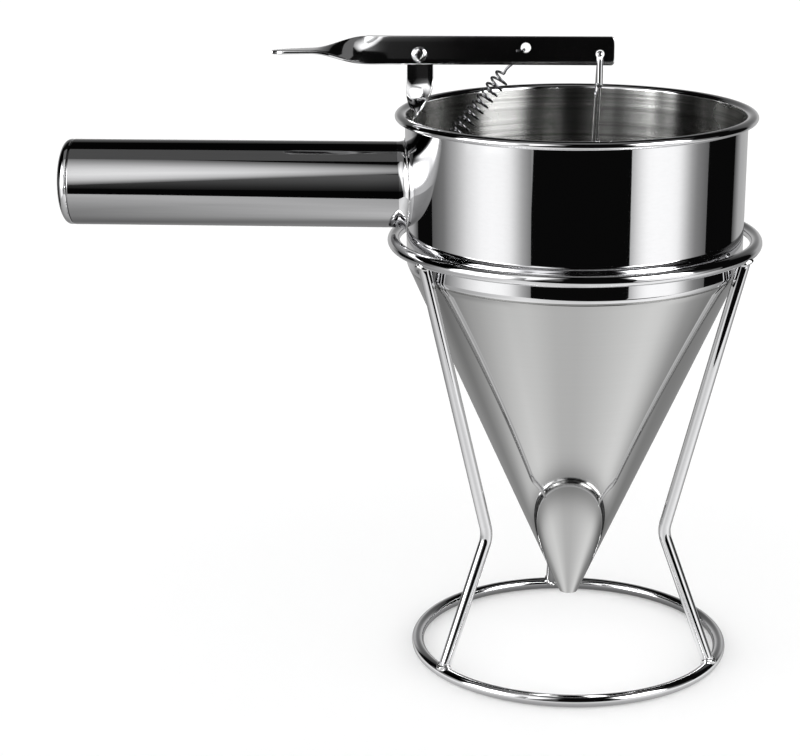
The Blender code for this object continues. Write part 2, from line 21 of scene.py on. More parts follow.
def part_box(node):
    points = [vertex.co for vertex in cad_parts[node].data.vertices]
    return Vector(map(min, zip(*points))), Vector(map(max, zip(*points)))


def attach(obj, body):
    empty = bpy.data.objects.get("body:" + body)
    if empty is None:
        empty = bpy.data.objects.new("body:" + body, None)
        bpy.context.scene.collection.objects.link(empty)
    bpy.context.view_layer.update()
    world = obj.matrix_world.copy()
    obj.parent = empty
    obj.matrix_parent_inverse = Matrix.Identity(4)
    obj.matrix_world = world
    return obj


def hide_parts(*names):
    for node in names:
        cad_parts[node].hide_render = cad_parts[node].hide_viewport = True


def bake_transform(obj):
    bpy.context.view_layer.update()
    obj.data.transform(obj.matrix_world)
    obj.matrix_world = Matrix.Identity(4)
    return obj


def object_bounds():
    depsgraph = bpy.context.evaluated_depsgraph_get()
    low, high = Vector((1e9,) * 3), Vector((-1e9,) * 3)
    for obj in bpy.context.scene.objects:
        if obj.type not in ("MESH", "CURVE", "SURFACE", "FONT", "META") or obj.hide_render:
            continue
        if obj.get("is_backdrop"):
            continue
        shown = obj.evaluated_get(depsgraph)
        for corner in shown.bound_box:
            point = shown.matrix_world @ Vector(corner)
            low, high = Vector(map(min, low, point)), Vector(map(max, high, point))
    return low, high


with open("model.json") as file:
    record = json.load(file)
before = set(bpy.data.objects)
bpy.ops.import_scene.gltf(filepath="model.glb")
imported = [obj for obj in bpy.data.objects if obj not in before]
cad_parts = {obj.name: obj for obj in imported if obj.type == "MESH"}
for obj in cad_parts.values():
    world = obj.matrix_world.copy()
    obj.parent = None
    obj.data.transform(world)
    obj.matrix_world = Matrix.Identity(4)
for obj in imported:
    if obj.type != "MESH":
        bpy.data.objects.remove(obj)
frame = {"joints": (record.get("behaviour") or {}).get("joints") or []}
cad_low, cad_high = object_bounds()
joints = {joint["name"]: joint for joint in frame["joints"]}


def linked(name, data):
    """A new object in the scene that shows this data."""
    made = bpy.data.objects.new(name, data)
    bpy.context.collection.objects.link(made)
    return made


# %% [markdown]
# ## Sizes
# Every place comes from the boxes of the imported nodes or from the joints. What a box can't say,
# such as how round a shoulder is, is a named size in metres.

# %% Sizes of the stand and the funnel
wire_radius = 0.0025
ring_low, ring_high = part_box("support_ring")
axis_x = (ring_low.x + ring_high.x) / 2          # the funnel's upright axis
ring_height = (ring_low.z + ring_high.z) / 2
ring_radius = (ring_high.x - ring_low.x) / 2 - wire_radius
base_low, base_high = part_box("base_ring")
base_ring_radius = (base_high.x - base_low.x) / 2 - wire_radius
sheet = 0.0008
cup_low, cup_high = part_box("cup")
rim_overhang = 0.0040
rim_thickness = 0.0034
cup_flare = 0.0005
shoulder_radius = 0.0040
shoulder_lip = 0.0012
cone_height = 0.1425
outlet_radius = 0.00375
outlet_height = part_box("cone")[0].z
corner_height = outlet_height + cone_height
rim_height = cup_high.z - rim_thickness / 2
cup_radius = (cup_high.x - cup_low.x) / 2 - rim_overhang - cup_flare
half_angle = math.atan2(cup_radius - outlet_radius, cone_height)
shoulder_centre_radius = cup_radius - shoulder_radius
shoulder_centre_height = corner_height + shoulder_radius * math.tan(half_angle / 2)
print("cup radius %.4f, ring radius %.4f, rim at %.4f" % (cup_radius, ring_radius, rim_height))

# %% Sizes of the handle, the lever, the spring and the rod
handle_low, handle_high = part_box("handle_tube")
handle_height = (handle_low.z + handle_high.z) / 2
handle_radius = (handle_high.z - handle_low.z) / 2
handle_wall = 0.0008
handle_seam = handle_low.x
handle_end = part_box("handle_end_cap")[0].x
lever_low, lever_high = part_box("lever")
lever_height = (lever_low.z + lever_high.z) / 2
lever_width = lever_high.z - lever_low.z
lever_thickness = 0.0015
pivot = Vector(joints["lever_press"]["pos_m"])
rod_hook = Vector(joints["rod_swing"]["pos_m"])
running_gap = 0.0003                             # between pieces that turn or are joined
print("handle radius %.4f at %.4f, lever %.4f wide at %.4f"
      % (handle_radius, handle_height, lever_width, lever_height))

# %% [markdown]
# ## The camera
# A long lens a little under a metre away, a bit above the rim and looking down, slightly turned
# to the left and hardly rolled. The three angles build the camera's own axes: where it looks,
# what is right and what is up.

# %% Camera
camera_distance = 0.8737
camera_height = 0.3730
camera_yaw = math.radians(-4.62)
camera_pitch = math.radians(-16.32)
camera_roll = math.radians(-0.39)
sensor_width = 36.0
focal_share = 2213.5 / 800                       # focal length as a share of the picture's width

look = Vector((math.sin(camera_yaw) * math.cos(camera_pitch),
               math.cos(camera_yaw) * math.cos(camera_pitch), math.sin(camera_pitch)))
level = Vector((math.cos(camera_yaw), -math.sin(camera_yaw), 0))
upright = level.cross(look)
right = level * math.cos(camera_roll) + upright * math.sin(camera_roll)
up = upright * math.cos(camera_roll) - level * math.sin(camera_roll)
camera = linked("camera", bpy.data.cameras.new("camera"))
camera.data.sensor_width = sensor_width
camera.data.lens = sensor_width * focal_share
camera.data.clip_start = 0.01
turn = Matrix((right, up, -look)).transposed().to_4x4()
camera.matrix_world = Matrix.Translation((axis_x, -camera_distance, camera_height)) @ turn
bpy.context.scene.camera = camera
print("camera at", [round(value, 3) for value in camera.location], "lens %.1f mm" % camera.data.lens)

# %% [markdown]
# ## Surfaces from grids
# Nearly every piece is a grid of points worked out at once with numpy: rows run one way over the
# surface, columns the other. One helper joins the grid's neighbours into quads, closes it where
# it meets itself and gives it a UV map, which later tells the brushed finishes which way to run.

# %% Grid helper
crease = math.radians(32)
merge_distance = 1e-7


def surface(x, y, z):
    """Grid of points from three arrays, or single values, that are spread to one shape."""
    return np.stack(np.broadcast_arrays(x, y, z), axis=2)


def grid_mesh(name, points, wrap_rows=False, wrap_columns=False):
    """Join a rows x columns x 3 array into quads. U follows the rows and V the columns, 0 to 1."""
    rows, columns = points.shape[:2]
    row, column = np.meshgrid(np.arange(rows if wrap_rows else rows - 1),
                              np.arange(columns if wrap_columns else columns - 1), indexing="ij")
    row, column = row.ravel(), column.ravel()
    corners = [(row, column), (row, column + 1), (row + 1, column + 1), (row + 1, column)]
    quads = np.stack([(r % rows) * columns + c % columns for r, c in corners], axis=1)
    mesh = bpy.data.meshes.new(name)
    mesh.from_pydata(points.reshape(-1, 3), [], quads)
    spans = (rows if wrap_rows else rows - 1, columns if wrap_columns else columns - 1)
    uv = np.stack([np.stack([r / spans[0], c / spans[1]], axis=1) for r, c in corners], axis=1)
    mesh.uv_layers.new(name="grid").data.foreach_set("uv", uv.reshape(-1).astype(np.float32))
    return mesh


def finish_mesh(mesh, sharp=crease):
    """Merge doubled points at poles and ends, turn every face outwards and shade smoothly."""
    work = bmesh.new()
    work.from_mesh(mesh)
    bmesh.ops.remove_doubles(work, verts=work.verts, dist=merge_distance)
    bmesh.ops.recalc_face_normals(work, faces=work.faces)
    work.to_mesh(mesh)
    work.free()
    mesh.shade_smooth()
    mesh.set_sharp_from_angle(angle=sharp)
    return mesh


def add_piece(name, mesh, material, body, nodes=()):
    """Put a mesh in the scene, on its body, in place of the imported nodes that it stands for."""
    piece = linked(name, mesh)
    for finish in material if isinstance(material, list) else [material]:
        mesh.materials.append(finish)
    if body:
        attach(piece, body)
    if nodes:
        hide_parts(*nodes)
    print("%s: %d faces" % (name, len(mesh.polygons)))
    return piece


# %% [markdown]
# ## Turning, sweeping and rounding
# A lathe's work is a profile of radii and heights carried round an axis. Wire is a circle carried
# along a route. Both are one array sum: a point on the axis plus a radius times a direction.

# %% Turned and swept shapes
y_axis = np.array([0.0, 1.0, 0.0])
z_axis = np.array([0.0, 0.0, 1.0])


def unit(vectors):
    """Scale vectors to length one along the last axis."""
    return vectors / np.linalg.norm(vectors, axis=-1, keepdims=True)


def turned_points(profile, steps, centre=(0, 0, 0), axis=(0, 0, 1)):
    """Point = centre + radius x (direction round the axis at this step) + height x axis."""
    axis = unit(np.array(axis, float))
    side = unit(np.cross(axis, (0.31, 0.95, 0.0)) if abs(axis[2]) > 0.5 else np.cross(axis, z_axis))
    other = np.cross(axis, side)
    angle = math.tau * np.arange(steps) / steps
    around = np.cos(angle)[:, None] * side + np.sin(angle)[:, None] * other
    radius, height = np.array(profile, float).T
    return np.array(centre, float) + around[:, None] * radius[None, :, None] + height[None, :, None] * axis


def turned(name, profile, steps, centre=(0, 0, 0), axis=(0, 0, 1), closed=True):
    """A closed profile makes a ring or a shell, an open one starts and ends on the axis."""
    return finish_mesh(grid_mesh(name, turned_points(profile, steps, centre, axis), True, closed))


def arc(centre, radius, start, end, count, squash=1.0):
    """Points of a circle's arc as (radius, height), from one angle to another, ends included."""
    angle = np.linspace(start, end, count)
    return np.stack([centre[0] + radius * np.cos(angle), centre[1] + radius * squash * np.sin(angle)], axis=1)


def frames_along(route, first_side):
    """For each point of a route two directions square to it, carried without twist.

    Each step takes the side before it and removes what lies along the new tangent.
    """
    tangent = unit(np.gradient(route, axis=0))
    sides = np.empty_like(tangent)
    side = np.array(first_side, float)
    for index, along in enumerate(tangent):
        side = side - along * side.dot(along)
        side = side / np.linalg.norm(side)
        sides[index] = side
    return sides, np.cross(tangent, sides)


def swept_points(route, radius, sides, first_side):
    """Circle of the given radius, one number or one for each station, round every route point."""
    route = np.array(route, float)
    side, other = frames_along(route, first_side)
    angle = math.tau * np.arange(sides) / sides
    circle = side[:, None] * np.cos(angle)[None, :, None] + other[:, None] * np.sin(angle)[None, :, None]
    return route[:, None] + circle * np.broadcast_to(radius, len(route))[:, None, None]


def wire(name, route, radius, sides, first_side, round_share=0.35, round_steps=5):
    """A round wire with both ends rounded off: the circle shrinks over the last bit of each end."""
    route = np.array(route, float)
    tangent = unit(np.gradient(route, axis=0))
    bend = math.pi / 2 * np.arange(round_steps)[:, None] / round_steps
    inset = radius * round_share * (1 - np.cos(bend))
    sizes = radius * (1 - round_share * (1 - np.sin(bend[:, 0])))
    head, tail = route[0] + tangent[0] * inset, route[-1] - tangent[-1] * inset[::-1]
    whole = np.concatenate([head, route[1:-1], tail])
    radii = np.concatenate([sizes, np.full(len(route) - 2, radius), sizes[::-1]])
    points = swept_points(whole, radii, sides, first_side)
    ends = [np.repeat(points[end].mean(axis=0)[None, None], sides, axis=1) for end in (0, -1)]
    return finish_mesh(grid_mesh(name, np.concatenate([ends[0], points, ends[1]]), False, True))


def smooth_route(points, steps):
    """Catmull-Rom curve: between two points, the blend that also looks at the two beyond them."""
    points = np.array(points, float)
    padded = np.concatenate([[2 * points[0] - points[1]], points, [2 * points[-1] - points[-2]]])
    share = np.arange(steps)[:, None, None] / steps
    before, first, second, after = (padded[i:len(padded) - 3 + i][None] for i in range(4))
    curve = 0.5 * (2 * first + (second - before) * share
                   + (2 * before - 5 * first + 4 * second - after) * share ** 2
                   + (3 * first - before - 3 * second + after) * share ** 3)
    return np.concatenate([curve.transpose(1, 0, 2).reshape(-1, 3), points[-1:]])


def rounded_corner(before, corner, after, radius, count):
    """Points of the arc that rounds a corner between two straight runs."""
    before, corner, after = (np.array(point, float) for point in (before, corner, after))
    first, second = unit(before - corner), unit(after - corner)
    half = math.acos(np.clip(first.dot(second), -1, 1)) / 2
    centre = corner + unit(first + second) * radius / math.sin(half)
    start = corner + first * radius / math.tan(half) - centre
    turn_to = corner + second * radius / math.tan(half) - centre
    sweep = math.pi - 2 * half
    side = (turn_to - start * math.cos(sweep)) / math.sin(sweep)
    angle = np.linspace(0, sweep, count)[:, None]
    return centre + start * np.cos(angle) + side * np.sin(angle)


# %% [markdown]
# ## Steel finishes
# All of it is stainless steel, so one function builds every finish and only the amounts change:
# how bright the metal is, with painted shade in the funnel's inside and a painted dark reflection
# in the spring, how rough, how far the roughness drifts like wiped fingerprints, how deep the fine
# lines are and which way they run, and how much the sheet itself waves.

# %% Material helpers
def fill(tree, node, inputs):
    """Give a node's inputs, by name or number, a value or a link from another node's output."""
    for name, value in inputs.items():
        if isinstance(value, bpy.types.NodeSocket):
            tree.links.new(value, node.inputs[name])
        else:
            node.inputs[name].default_value = value


def put(tree, kind, inputs, output=0, **settings):
    """Add a node with its inputs and settings, and hand back one of its outputs."""
    node = tree.nodes.new("ShaderNode" + kind)
    for name, value in settings.items():
        setattr(node, name, value)
    fill(tree, node, inputs)
    return node.outputs[output]


def new_material(name):
    """A material with its node tree and its shader."""
    material = bpy.data.materials.new(name)
    material.use_nodes = True
    return material, material.node_tree, material.node_tree.nodes["Principled BSDF"]


def steel(name, colour, roughness, drift=0.3, line_scale=(60, 60, 60), line_depth=0.0, wave_depth=0.0,
          wave_size=0.05, anisotropic=0.0, streak=0.0, centre=(0, 0, 0)):
    """A metal with drifting roughness, fine lines stretched by line_scale, and a slow wave in the sheet."""
    material, tree, shader = new_material(name)
    place = put(tree, "TexCoord", {}, "Object")
    centred = put(tree, "Mapping", {"Location": [-value for value in centre], "Vector": place})
    stretched = put(tree, "Mapping", {"Scale": line_scale, "Vector": centred})
    lines = put(tree, "TexNoise", {"Scale": 1.0, "Detail": 3.0, "Roughness": 0.6, "Vector": stretched}, "Fac")
    clouds = put(tree, "TexNoise", {"Scale": 38.0, "Detail": 4.0, "Vector": centred}, "Fac")
    waves = put(tree, "TexNoise", {"Scale": 1.0 / wave_size, "Detail": 1.0, "Vector": centred}, "Fac")
    rough = put(tree, "MapRange", {"Value": clouds, "From Min": 0.3, "From Max": 0.7,
                                   "To Min": roughness * (1 - drift), "To Max": roughness * (1 + drift)})
    tone = put(tree, "MapRange", {"Value": lines, "From Min": 0.25, "From Max": 0.75,
                                  "To Min": 1.0 - streak, "To Max": 1.0 + streak * 0.3})
    paint = put(tree, "VectorMath", {0: colour, "Scale": tone}, operation="SCALE")
    waved = put(tree, "Bump", {"Distance": wave_depth, "Height": waves})
    lined = put(tree, "Bump", {"Distance": line_depth, "Height": lines, "Normal": waved})
    fill(tree, shader, {"Metallic": 1.0, "Base Color": paint, "Roughness": rough, "Normal": lined})
    if anisotropic:
        around = put(tree, "Tangent", {}, direction_type="UV_MAP", uv_map="grid")
        fill(tree, shader, {"Anisotropic": anisotropic, "Anisotropic Rotation": 0.25, "Tangent": around})
    return material


# %% Finishes
funnel_centre = (axis_x, 0, 0)
mirror_sheet = steel("mirror_sheet", (0.87, 0.87, 0.88), 0.035, drift=0.4, line_scale=(300, 300, 900),
                     line_depth=1e-6, wave_depth=0.00003, wave_size=0.03, streak=0.02, centre=funnel_centre)
# The inside of cup and cone is far darker than the same sheet outside. Its brushed finish is real, but the
# darker colour is painted shade of the funnel's hollow.
shaded_brushed_inside = steel("shaded_brushed_inside", (0.50, 0.50, 0.49), 0.24, drift=0.15, line_scale=(9, 9, 900),
                       line_depth=1e-6, anisotropic=1.0, streak=0.45, centre=funnel_centre)
satin_sheet = steel("satin_sheet", (0.59, 0.59, 0.585), 0.035, drift=0.5, line_scale=(12, 12, 1500),
                    wave_depth=0.00005, wave_size=0.03, streak=0.012, centre=funnel_centre)
drawn_wire = steel("drawn_wire", (0.82, 0.82, 0.83), 0.035, drift=0.4, line_scale=(900, 900, 900),
                   line_depth=5e-7, streak=0.03)
mirror_bar = steel("mirror_bar", (0.86, 0.86, 0.87), 0.09, drift=0.3, line_scale=(60, 900, 900),
                   line_depth=2e-6, wave_depth=0.00003, wave_size=0.02, streak=0.03)
# The spring's colour is painted dark. It stands for the dark ceiling and cup that its thin coils reflect.
dark_reflection_wire = steel("dark_reflection_wire", (0.24, 0.24, 0.25), 0.10, drift=0.3, line_scale=(1500, 1500, 1500),
                  line_depth=1e-6, streak=0.1)
plated = steel("plated", (0.88, 0.88, 0.89), 0.09, drift=0.4, line_scale=(2000, 2000, 2000),
               line_depth=2e-6, streak=0.08)
weld_metal = steel("weld_metal", (0.80, 0.80, 0.80), 0.12, drift=0.5, line_scale=(1200, 1200, 1200),
                   line_depth=0.00002, streak=0.1)
print("finishes:", [material.name for material in bpy.data.materials])

# %% [markdown]
# ## The stand
# Two rings of 5 mm wire and three bent legs. A ring is a circle turned round the funnel's axis. A
# leg lies in one upright plane, so its route is drawn once as radii and heights and turned to
# each of its three places.

# %% Rings
ring_steps = 384
wire_sides = 36


def ring_profile(radius, height):
    """Section of a ring's wire."""
    return arc((radius, height), wire_radius, 0, math.tau * (1 - 1 / wire_sides), wire_sides)


ring_places = {"support": (ring_radius, ring_height), "base": (base_ring_radius, wire_radius)}
for ring_name, place in ring_places.items():
    ring = turned(ring_name, ring_profile(*place), ring_steps, funnel_centre)
    add_piece(ring_name + "_wire", ring, drawn_wire, "stand", [ring_name + "_ring"])

# %% Legs
leg_lean = math.radians(14.6)
knee_height = 0.0575
knee_bend_radius = 0.012
end_inset = wire_radius * 0.6                    # the leg ends this far inside each ring
knee_radius = ring_radius - (ring_height - knee_height) * math.tan(leg_lean)
leg_angles = {"leg_back": 97, "leg_left": 217, "leg_right": 337}


def leg_route():
    """Radius and height from under the support ring, round the knee, down onto the base ring."""
    top, knee = (ring_radius, 0, ring_height), (knee_radius, 0, knee_height)
    foot = (base_ring_radius, 0, wire_radius)
    bend = rounded_corner(top, knee, foot, knee_bend_radius, 24)
    down = unit(bend[0] - np.array(top))
    out = unit(np.array(foot) - bend[-1])
    start = np.array(top) + down * end_inset
    end = np.array(foot) - out * end_inset
    upper = start + (bend[0] - start) * np.linspace(0, 1, 40)[:-1, None]
    lower = bend[-1] + (end - bend[-1]) * np.linspace(0, 1, 24)[1:, None]
    return np.concatenate([upper, bend, lower]), down, out


def placed(points, degrees):
    """Turn points about the funnel's axis and move them onto it."""
    cosine, sine = math.cos(math.radians(degrees)), math.sin(math.radians(degrees))
    turn_matrix = np.array([[cosine, -sine, 0], [sine, cosine, 0], [0, 0, 1]])
    return points @ turn_matrix.T + np.array(funnel_centre)


route, leg_down, leg_out = leg_route()
for leg_name, degrees in leg_angles.items():
    across = placed(y_axis, degrees) - np.array(funnel_centre)
    leg = wire(leg_name + "_mesh", placed(route, degrees), wire_radius, 28, across)
    add_piece(leg_name + "_wire", leg, drawn_wire, "stand", [leg_name])

# %% [markdown]
# ## Weld beads of the stand
# Where a leg meets a ring, two round wires cross and a bead of weld runs round the joint. On the
# leg's surface the joint lies at sqrt(R^2 - r^2 cos^2) from the ring's middle; the bead follows
# that line, a little out from it, and swells and shrinks slightly as a hand-run bead does.

# %% Weld beads
def bead(name, path, radius, sides=14, seed=0):
    """A closed tube along path whose radius swells by a few slow waves."""
    share = math.tau * np.arange(len(path)) / len(path)
    swell = radius * (1 + 0.16 * np.sin(2 * share + seed) + 0.10 * np.sin(5 * share + 2 * seed)
                      + 0.05 * np.sin(11 * share + 3 * seed))
    tangent = unit(np.roll(path, -1, axis=0) - np.roll(path, 1, axis=0))
    outwards = path - path.mean(axis=0)
    outwards = unit(outwards - tangent * (outwards * tangent).sum(axis=1, keepdims=True))
    other = np.cross(tangent, outwards)
    angle = math.tau * np.arange(sides) / sides
    circle = outwards[:, None] * np.cos(angle)[None, :, None] + other[:, None] * np.sin(angle)[None, :, None]
    points = path[:, None] + circle * swell[:, None, None]
    return finish_mesh(grid_mesh(name, points, True, True), sharp=math.radians(80))


def crossing_path(centre, along, tangent, radius, lift, count=56):
    """Where a wire running along meets a wire along tangent, both of the same radius."""
    side = np.cross(along, tangent)
    angle = math.tau * np.arange(count) / count
    distance = np.sqrt((radius * np.sin(angle)) ** 2 + lift ** 2)
    return (np.array(centre) + along * distance[:, None]
            + radius * (np.cos(angle)[:, None] * side + np.sin(angle)[:, None] * tangent))


bead_radius = 0.0009
bead_lift = 0.0011
leg_ends = [("top", (ring_radius, 0, ring_height), leg_down),
            ("foot", (base_ring_radius, 0, wire_radius), -leg_out)]
for number, (leg_name, degrees) in enumerate(leg_angles.items()):
    for index, (end_name, centre, along) in enumerate(leg_ends):
        path = placed(crossing_path(centre, along, y_axis, wire_radius, bead_lift), degrees)
        weld = bead("weld", path, bead_radius, seed=2 * number + index)
        add_piece("weld_%s_%s" % (leg_name[4:], end_name), weld, weld_metal, "stand")

# %% [markdown]
# ## The cup
# One pressed sheet: a short lip that meets the cone, a rounded shoulder, the wall and a rim
# rolled outwards and back under itself. The middle of the sheet is drawn as one line of radii
# and heights, and the sheet's two sides lie half a thickness to either side of it.

# %% Cup
cup_steps = 512
rim_curl = math.radians(292)


def sheet_section(path, thickness):
    """Closed outline of a sheet whose middle follows path, offset square to it on both sides."""
    run = unit(np.gradient(path, axis=0))
    step = np.stack([run[:, 1], -run[:, 0]], axis=1) * thickness / 2
    return np.concatenate([path + step, (path - step)[::-1]])


def cup_path():
    """Lip, shoulder arc, wall and the roll of the rim, along the middle of the sheet."""
    shoulder = arc((shoulder_centre_radius, shoulder_centre_height), shoulder_radius - sheet / 2,
                   -half_angle, 0, 14)
    down = np.array([-math.sin(half_angle), -math.cos(half_angle)])
    lip = shoulder[0] + down * shoulder_lip * np.linspace(1, 0, 4)[:-1, None]
    half_across = rim_overhang / 2
    half_tall = (rim_thickness - sheet) / 2
    roll_centre = (cup_radius + cup_flare - sheet / 2 + half_across, rim_height)
    roll = arc(roll_centre, half_across, math.pi, math.pi - rim_curl, 44, squash=half_tall / half_across)
    share = np.linspace(0, 1, 26)[1:-1, None]
    wall = shoulder[-1] + (roll[0] - shoulder[-1]) * share
    return np.concatenate([lip, shoulder, wall, roll])


def face_values(mesh, name):
    """One property of three numbers for every face, such as its centre or its normal."""
    values = np.empty(len(mesh.polygons) * 3, np.float32)
    mesh.polygons.foreach_get(name, values)
    return values.reshape(-1, 3)


cup_mesh = turned("cup_sheet", sheet_section(cup_path(), sheet), cup_steps, funnel_centre)
add_piece("pressed_cup", cup_mesh, [mirror_sheet, shaded_brushed_inside], "funnel", ["cup"])
# Faces inside the cup take the darker inside steel, with its painted shade.
centres = face_values(cup_mesh, "center")
reach = np.hypot(centres[:, 0] - axis_x, centres[:, 1])
wall_share = np.clip((centres[:, 2] - corner_height) / (rim_height - corner_height), 0, 1)
inside = (reach < cup_radius + cup_flare * wall_share - sheet * 0.7) & (centres[:, 2] < rim_height)
cup_mesh.polygons.foreach_set("material_index", inside.astype(np.int32))
print("cup: %d of its faces are the brushed inside" % inside.sum())

# %% [markdown]
# ## The cone
# The cone carries on from the lip, half a hair below it, down to the outlet. Its outside is a
# satin sheet, bright enough to show the legs beside it. The edge of the outlet is rounded.

# %% Cone
cone_steps = 384
outwards = np.array([math.cos(half_angle), -math.sin(half_angle)])
downwards = np.array([-math.sin(half_angle), -math.cos(half_angle)])
seam_gap = 0.00015
cone_top = (np.array([shoulder_centre_radius, shoulder_centre_height])
            + outwards * shoulder_radius + downwards * (shoulder_lip + seam_gap))
cone_tip = np.array([outlet_radius, outlet_height])
edge = sheet * 0.3
outside = cone_top + (cone_tip - cone_top) * np.linspace(0, 1, 60)[:, None]
outside[0] = outside[0] - outwards * edge * 0.4
outside = np.insert(outside, 1, cone_top + downwards * edge, axis=0)
inside_line = (outside - outwards * sheet)[::-1]
cone_mesh = turned("cone_sheet", np.concatenate([outside, inside_line]), cone_steps, funnel_centre)
add_piece("spun_cone", cone_mesh, [satin_sheet, shaded_brushed_inside], "funnel", ["cone"])
# Faces that look inwards take the darker inside steel, with its painted shade.
centres, normals = face_values(cone_mesh, "center"), face_values(cone_mesh, "normal")
facing_in = (centres[:, 0] - axis_x) * normals[:, 0] + centres[:, 1] * normals[:, 1] < 0
cone_mesh.polygons.foreach_set("material_index", facing_in.astype(np.int32))

# %% [markdown]
# ## The handle
# A polished tube ends in a saddle where it meets the round wall: at each point round the tube the
# cut lies at sqrt(wall radius^2 - sideways^2) from the funnel's axis. A pressed cap with a low
# dome closes the other end.

# %% Handle tube
tube_steps = 256
edge_round = 0.0004


def wall_radius(height):
    """Outside of the cup's wall at a height, which widens a little towards the rim."""
    return cup_radius + cup_flare * (height - corner_height) / (rim_height - corner_height)


def tube_points():
    """Round the tube (rows) and out along it and back inside (columns)."""
    angle = math.tau * np.arange(tube_steps)[:, None] / tube_steps
    length_share = np.concatenate([[0], np.linspace(0.01, 0.985, 40), [0.996, 1]])
    layers = []
    for radius, shares in ((handle_radius, length_share), (handle_radius - handle_wall, length_share[::-1])):
        y, z = radius * np.sin(angle), handle_height + radius * np.cos(angle)
        start = axis_x - np.sqrt(wall_radius(z) ** 2 - y ** 2)
        layers.append(surface(start + (handle_seam - start) * shares, y, z))
    outer, inner = layers
    outer[:, -1, 0] += edge_round
    bend = np.linspace(0, math.pi / 2, 5)[None, 1:]
    radius = handle_radius - edge_round * (1 - np.cos(bend))
    edge = surface(handle_seam + edge_round * (1 - np.sin(bend)), radius * np.sin(angle),
                   handle_height + radius * np.cos(angle))
    return np.concatenate([outer, edge, inner], axis=1)


tube_mesh = finish_mesh(grid_mesh("tube", tube_points(), True, True), sharp=math.radians(50))
mirror_tube = steel("mirror_tube", (0.47, 0.47, 0.475), 0.045, drift=0.4, line_scale=(40, 1200, 1200),
                    line_depth=1e-6, wave_depth=0.00002, wave_size=0.03, streak=0.04)
add_piece("polished_tube", tube_mesh, mirror_tube, "funnel", ["handle_tube"])

# %% End cap and the handle's weld
cap_height = handle_seam - handle_end
cap_edge = 0.0006
cap_skirt = 0.006
cap_roundness = 0.75                             # 1 is an elliptic dome, less has a fuller edge
dome = np.clip(arc((0, 0), 1.0, math.pi / 2, 0, 44), 0, 1) ** cap_roundness
dome_profile = np.stack([handle_radius * dome[:, 0],
                         cap_edge + (cap_height - cap_edge) * dome[:, 1]], axis=1)
cap_fit = 0.0002
cap_lip = 0.0003
skirt_radius = handle_radius - handle_wall - cap_fit
under = [(handle_radius - cap_lip, cap_lip), (skirt_radius, cap_fit), (skirt_radius, -cap_skirt),
         (skirt_radius - handle_wall, -cap_skirt)]
hollow = np.stack([(skirt_radius - handle_wall) * dome[::-1, 0],
                   (cap_height - handle_wall) * dome[::-1, 1]], axis=1)
cap_profile = np.concatenate([dome_profile, under, hollow])
cap_mesh = turned("cap", cap_profile, tube_steps, (handle_seam, 0, handle_height), (-1, 0, 0), closed=False)
add_piece("pressed_end_cap", cap_mesh, mirror_sheet, "funnel", ["handle_end_cap"])

fillet_run = 0.0036                              # along the tube
fillet_rise = 0.0014                             # up the cup's wall
bury = 0.0003
saddle_radius = 0.00035                          # the fine bead along the fillet's outer edge
saddle_lift = 0.0001


def saddle_point(angle, radius, out):
    """Point beside the cup's wall at this angle round the tube, this far from its line and off the wall."""
    y, z = radius * np.sin(angle), handle_height + radius * np.cos(angle)
    return np.stack([axis_x - np.sqrt(wall_radius(z) ** 2 - y ** 2) - out, y, z], axis=-1)


fillet_steps = 192
round_tube = math.tau * np.arange(fillet_steps)[:, None] / fillet_steps
hollow_turn = np.linspace(0, math.pi / 2, 15)
uneven = 1 + 0.05 * np.sin(3 * round_tube) + 0.03 * np.sin(7 * round_tube + 1)
fillet_radius = np.concatenate([handle_radius + fillet_rise * (1 - np.cos(hollow_turn)),
                                [handle_radius + fillet_rise, handle_radius - bury, handle_radius - bury]])
fillet_out = np.concatenate([fillet_run * (1 - np.sin(hollow_turn)), [-bury, -bury, fillet_run]])
fillet_points = saddle_point(round_tube, fillet_radius, fillet_out * uneven)
fillet_mesh = finish_mesh(grid_mesh("fillet", fillet_points, True, True), sharp=math.radians(60))
add_piece("weld_fillet", fillet_mesh, mirror_sheet, "funnel")
saddle_path = saddle_point(round_tube[:, 0], handle_radius + fillet_rise, saddle_lift)
saddle = bead("saddle", saddle_path, saddle_radius, seed=4)
add_piece("weld_handle", saddle, weld_metal, "funnel")

# %% [markdown]
# ## Flat bars
# The lever and the pivot bracket are flat bars that twist through a quarter turn. A rounded
# rectangle is carried along stations, each with its place, its twist and its width: at no twist
# the bar stands on edge, at a quarter turn it lies flat. Holes are drilled afterwards.

# %% Flat bar helpers
def bar_section(width, thickness, edge, corner_steps=3):
    """Rounded rectangle as (across the width, through the thickness) for every station's width."""
    bend = np.linspace(0, math.pi / 2, corner_steps + 1)
    corners = []
    for quarter, (side, face) in enumerate(((1, 1), (-1, 1), (-1, -1), (1, -1))):
        angle = bend + quarter * math.pi / 2
        across = side * (width[:, None] / 2 - edge) + edge * np.cos(angle)[None]
        through = face * (thickness / 2 - edge) + edge * np.sin(angle)[None]
        corners.append(np.stack([across, np.broadcast_to(through, across.shape)], axis=2))
    flats = []
    for first, second in zip(corners, corners[1:] + corners[:1]):
        share = np.linspace(0, 1, 6)[1:-1][None, :, None]
        flats += [first, first[:, -1:] + (second[:, :1] - first[:, -1:]) * share]
    return np.concatenate(flats, axis=1)


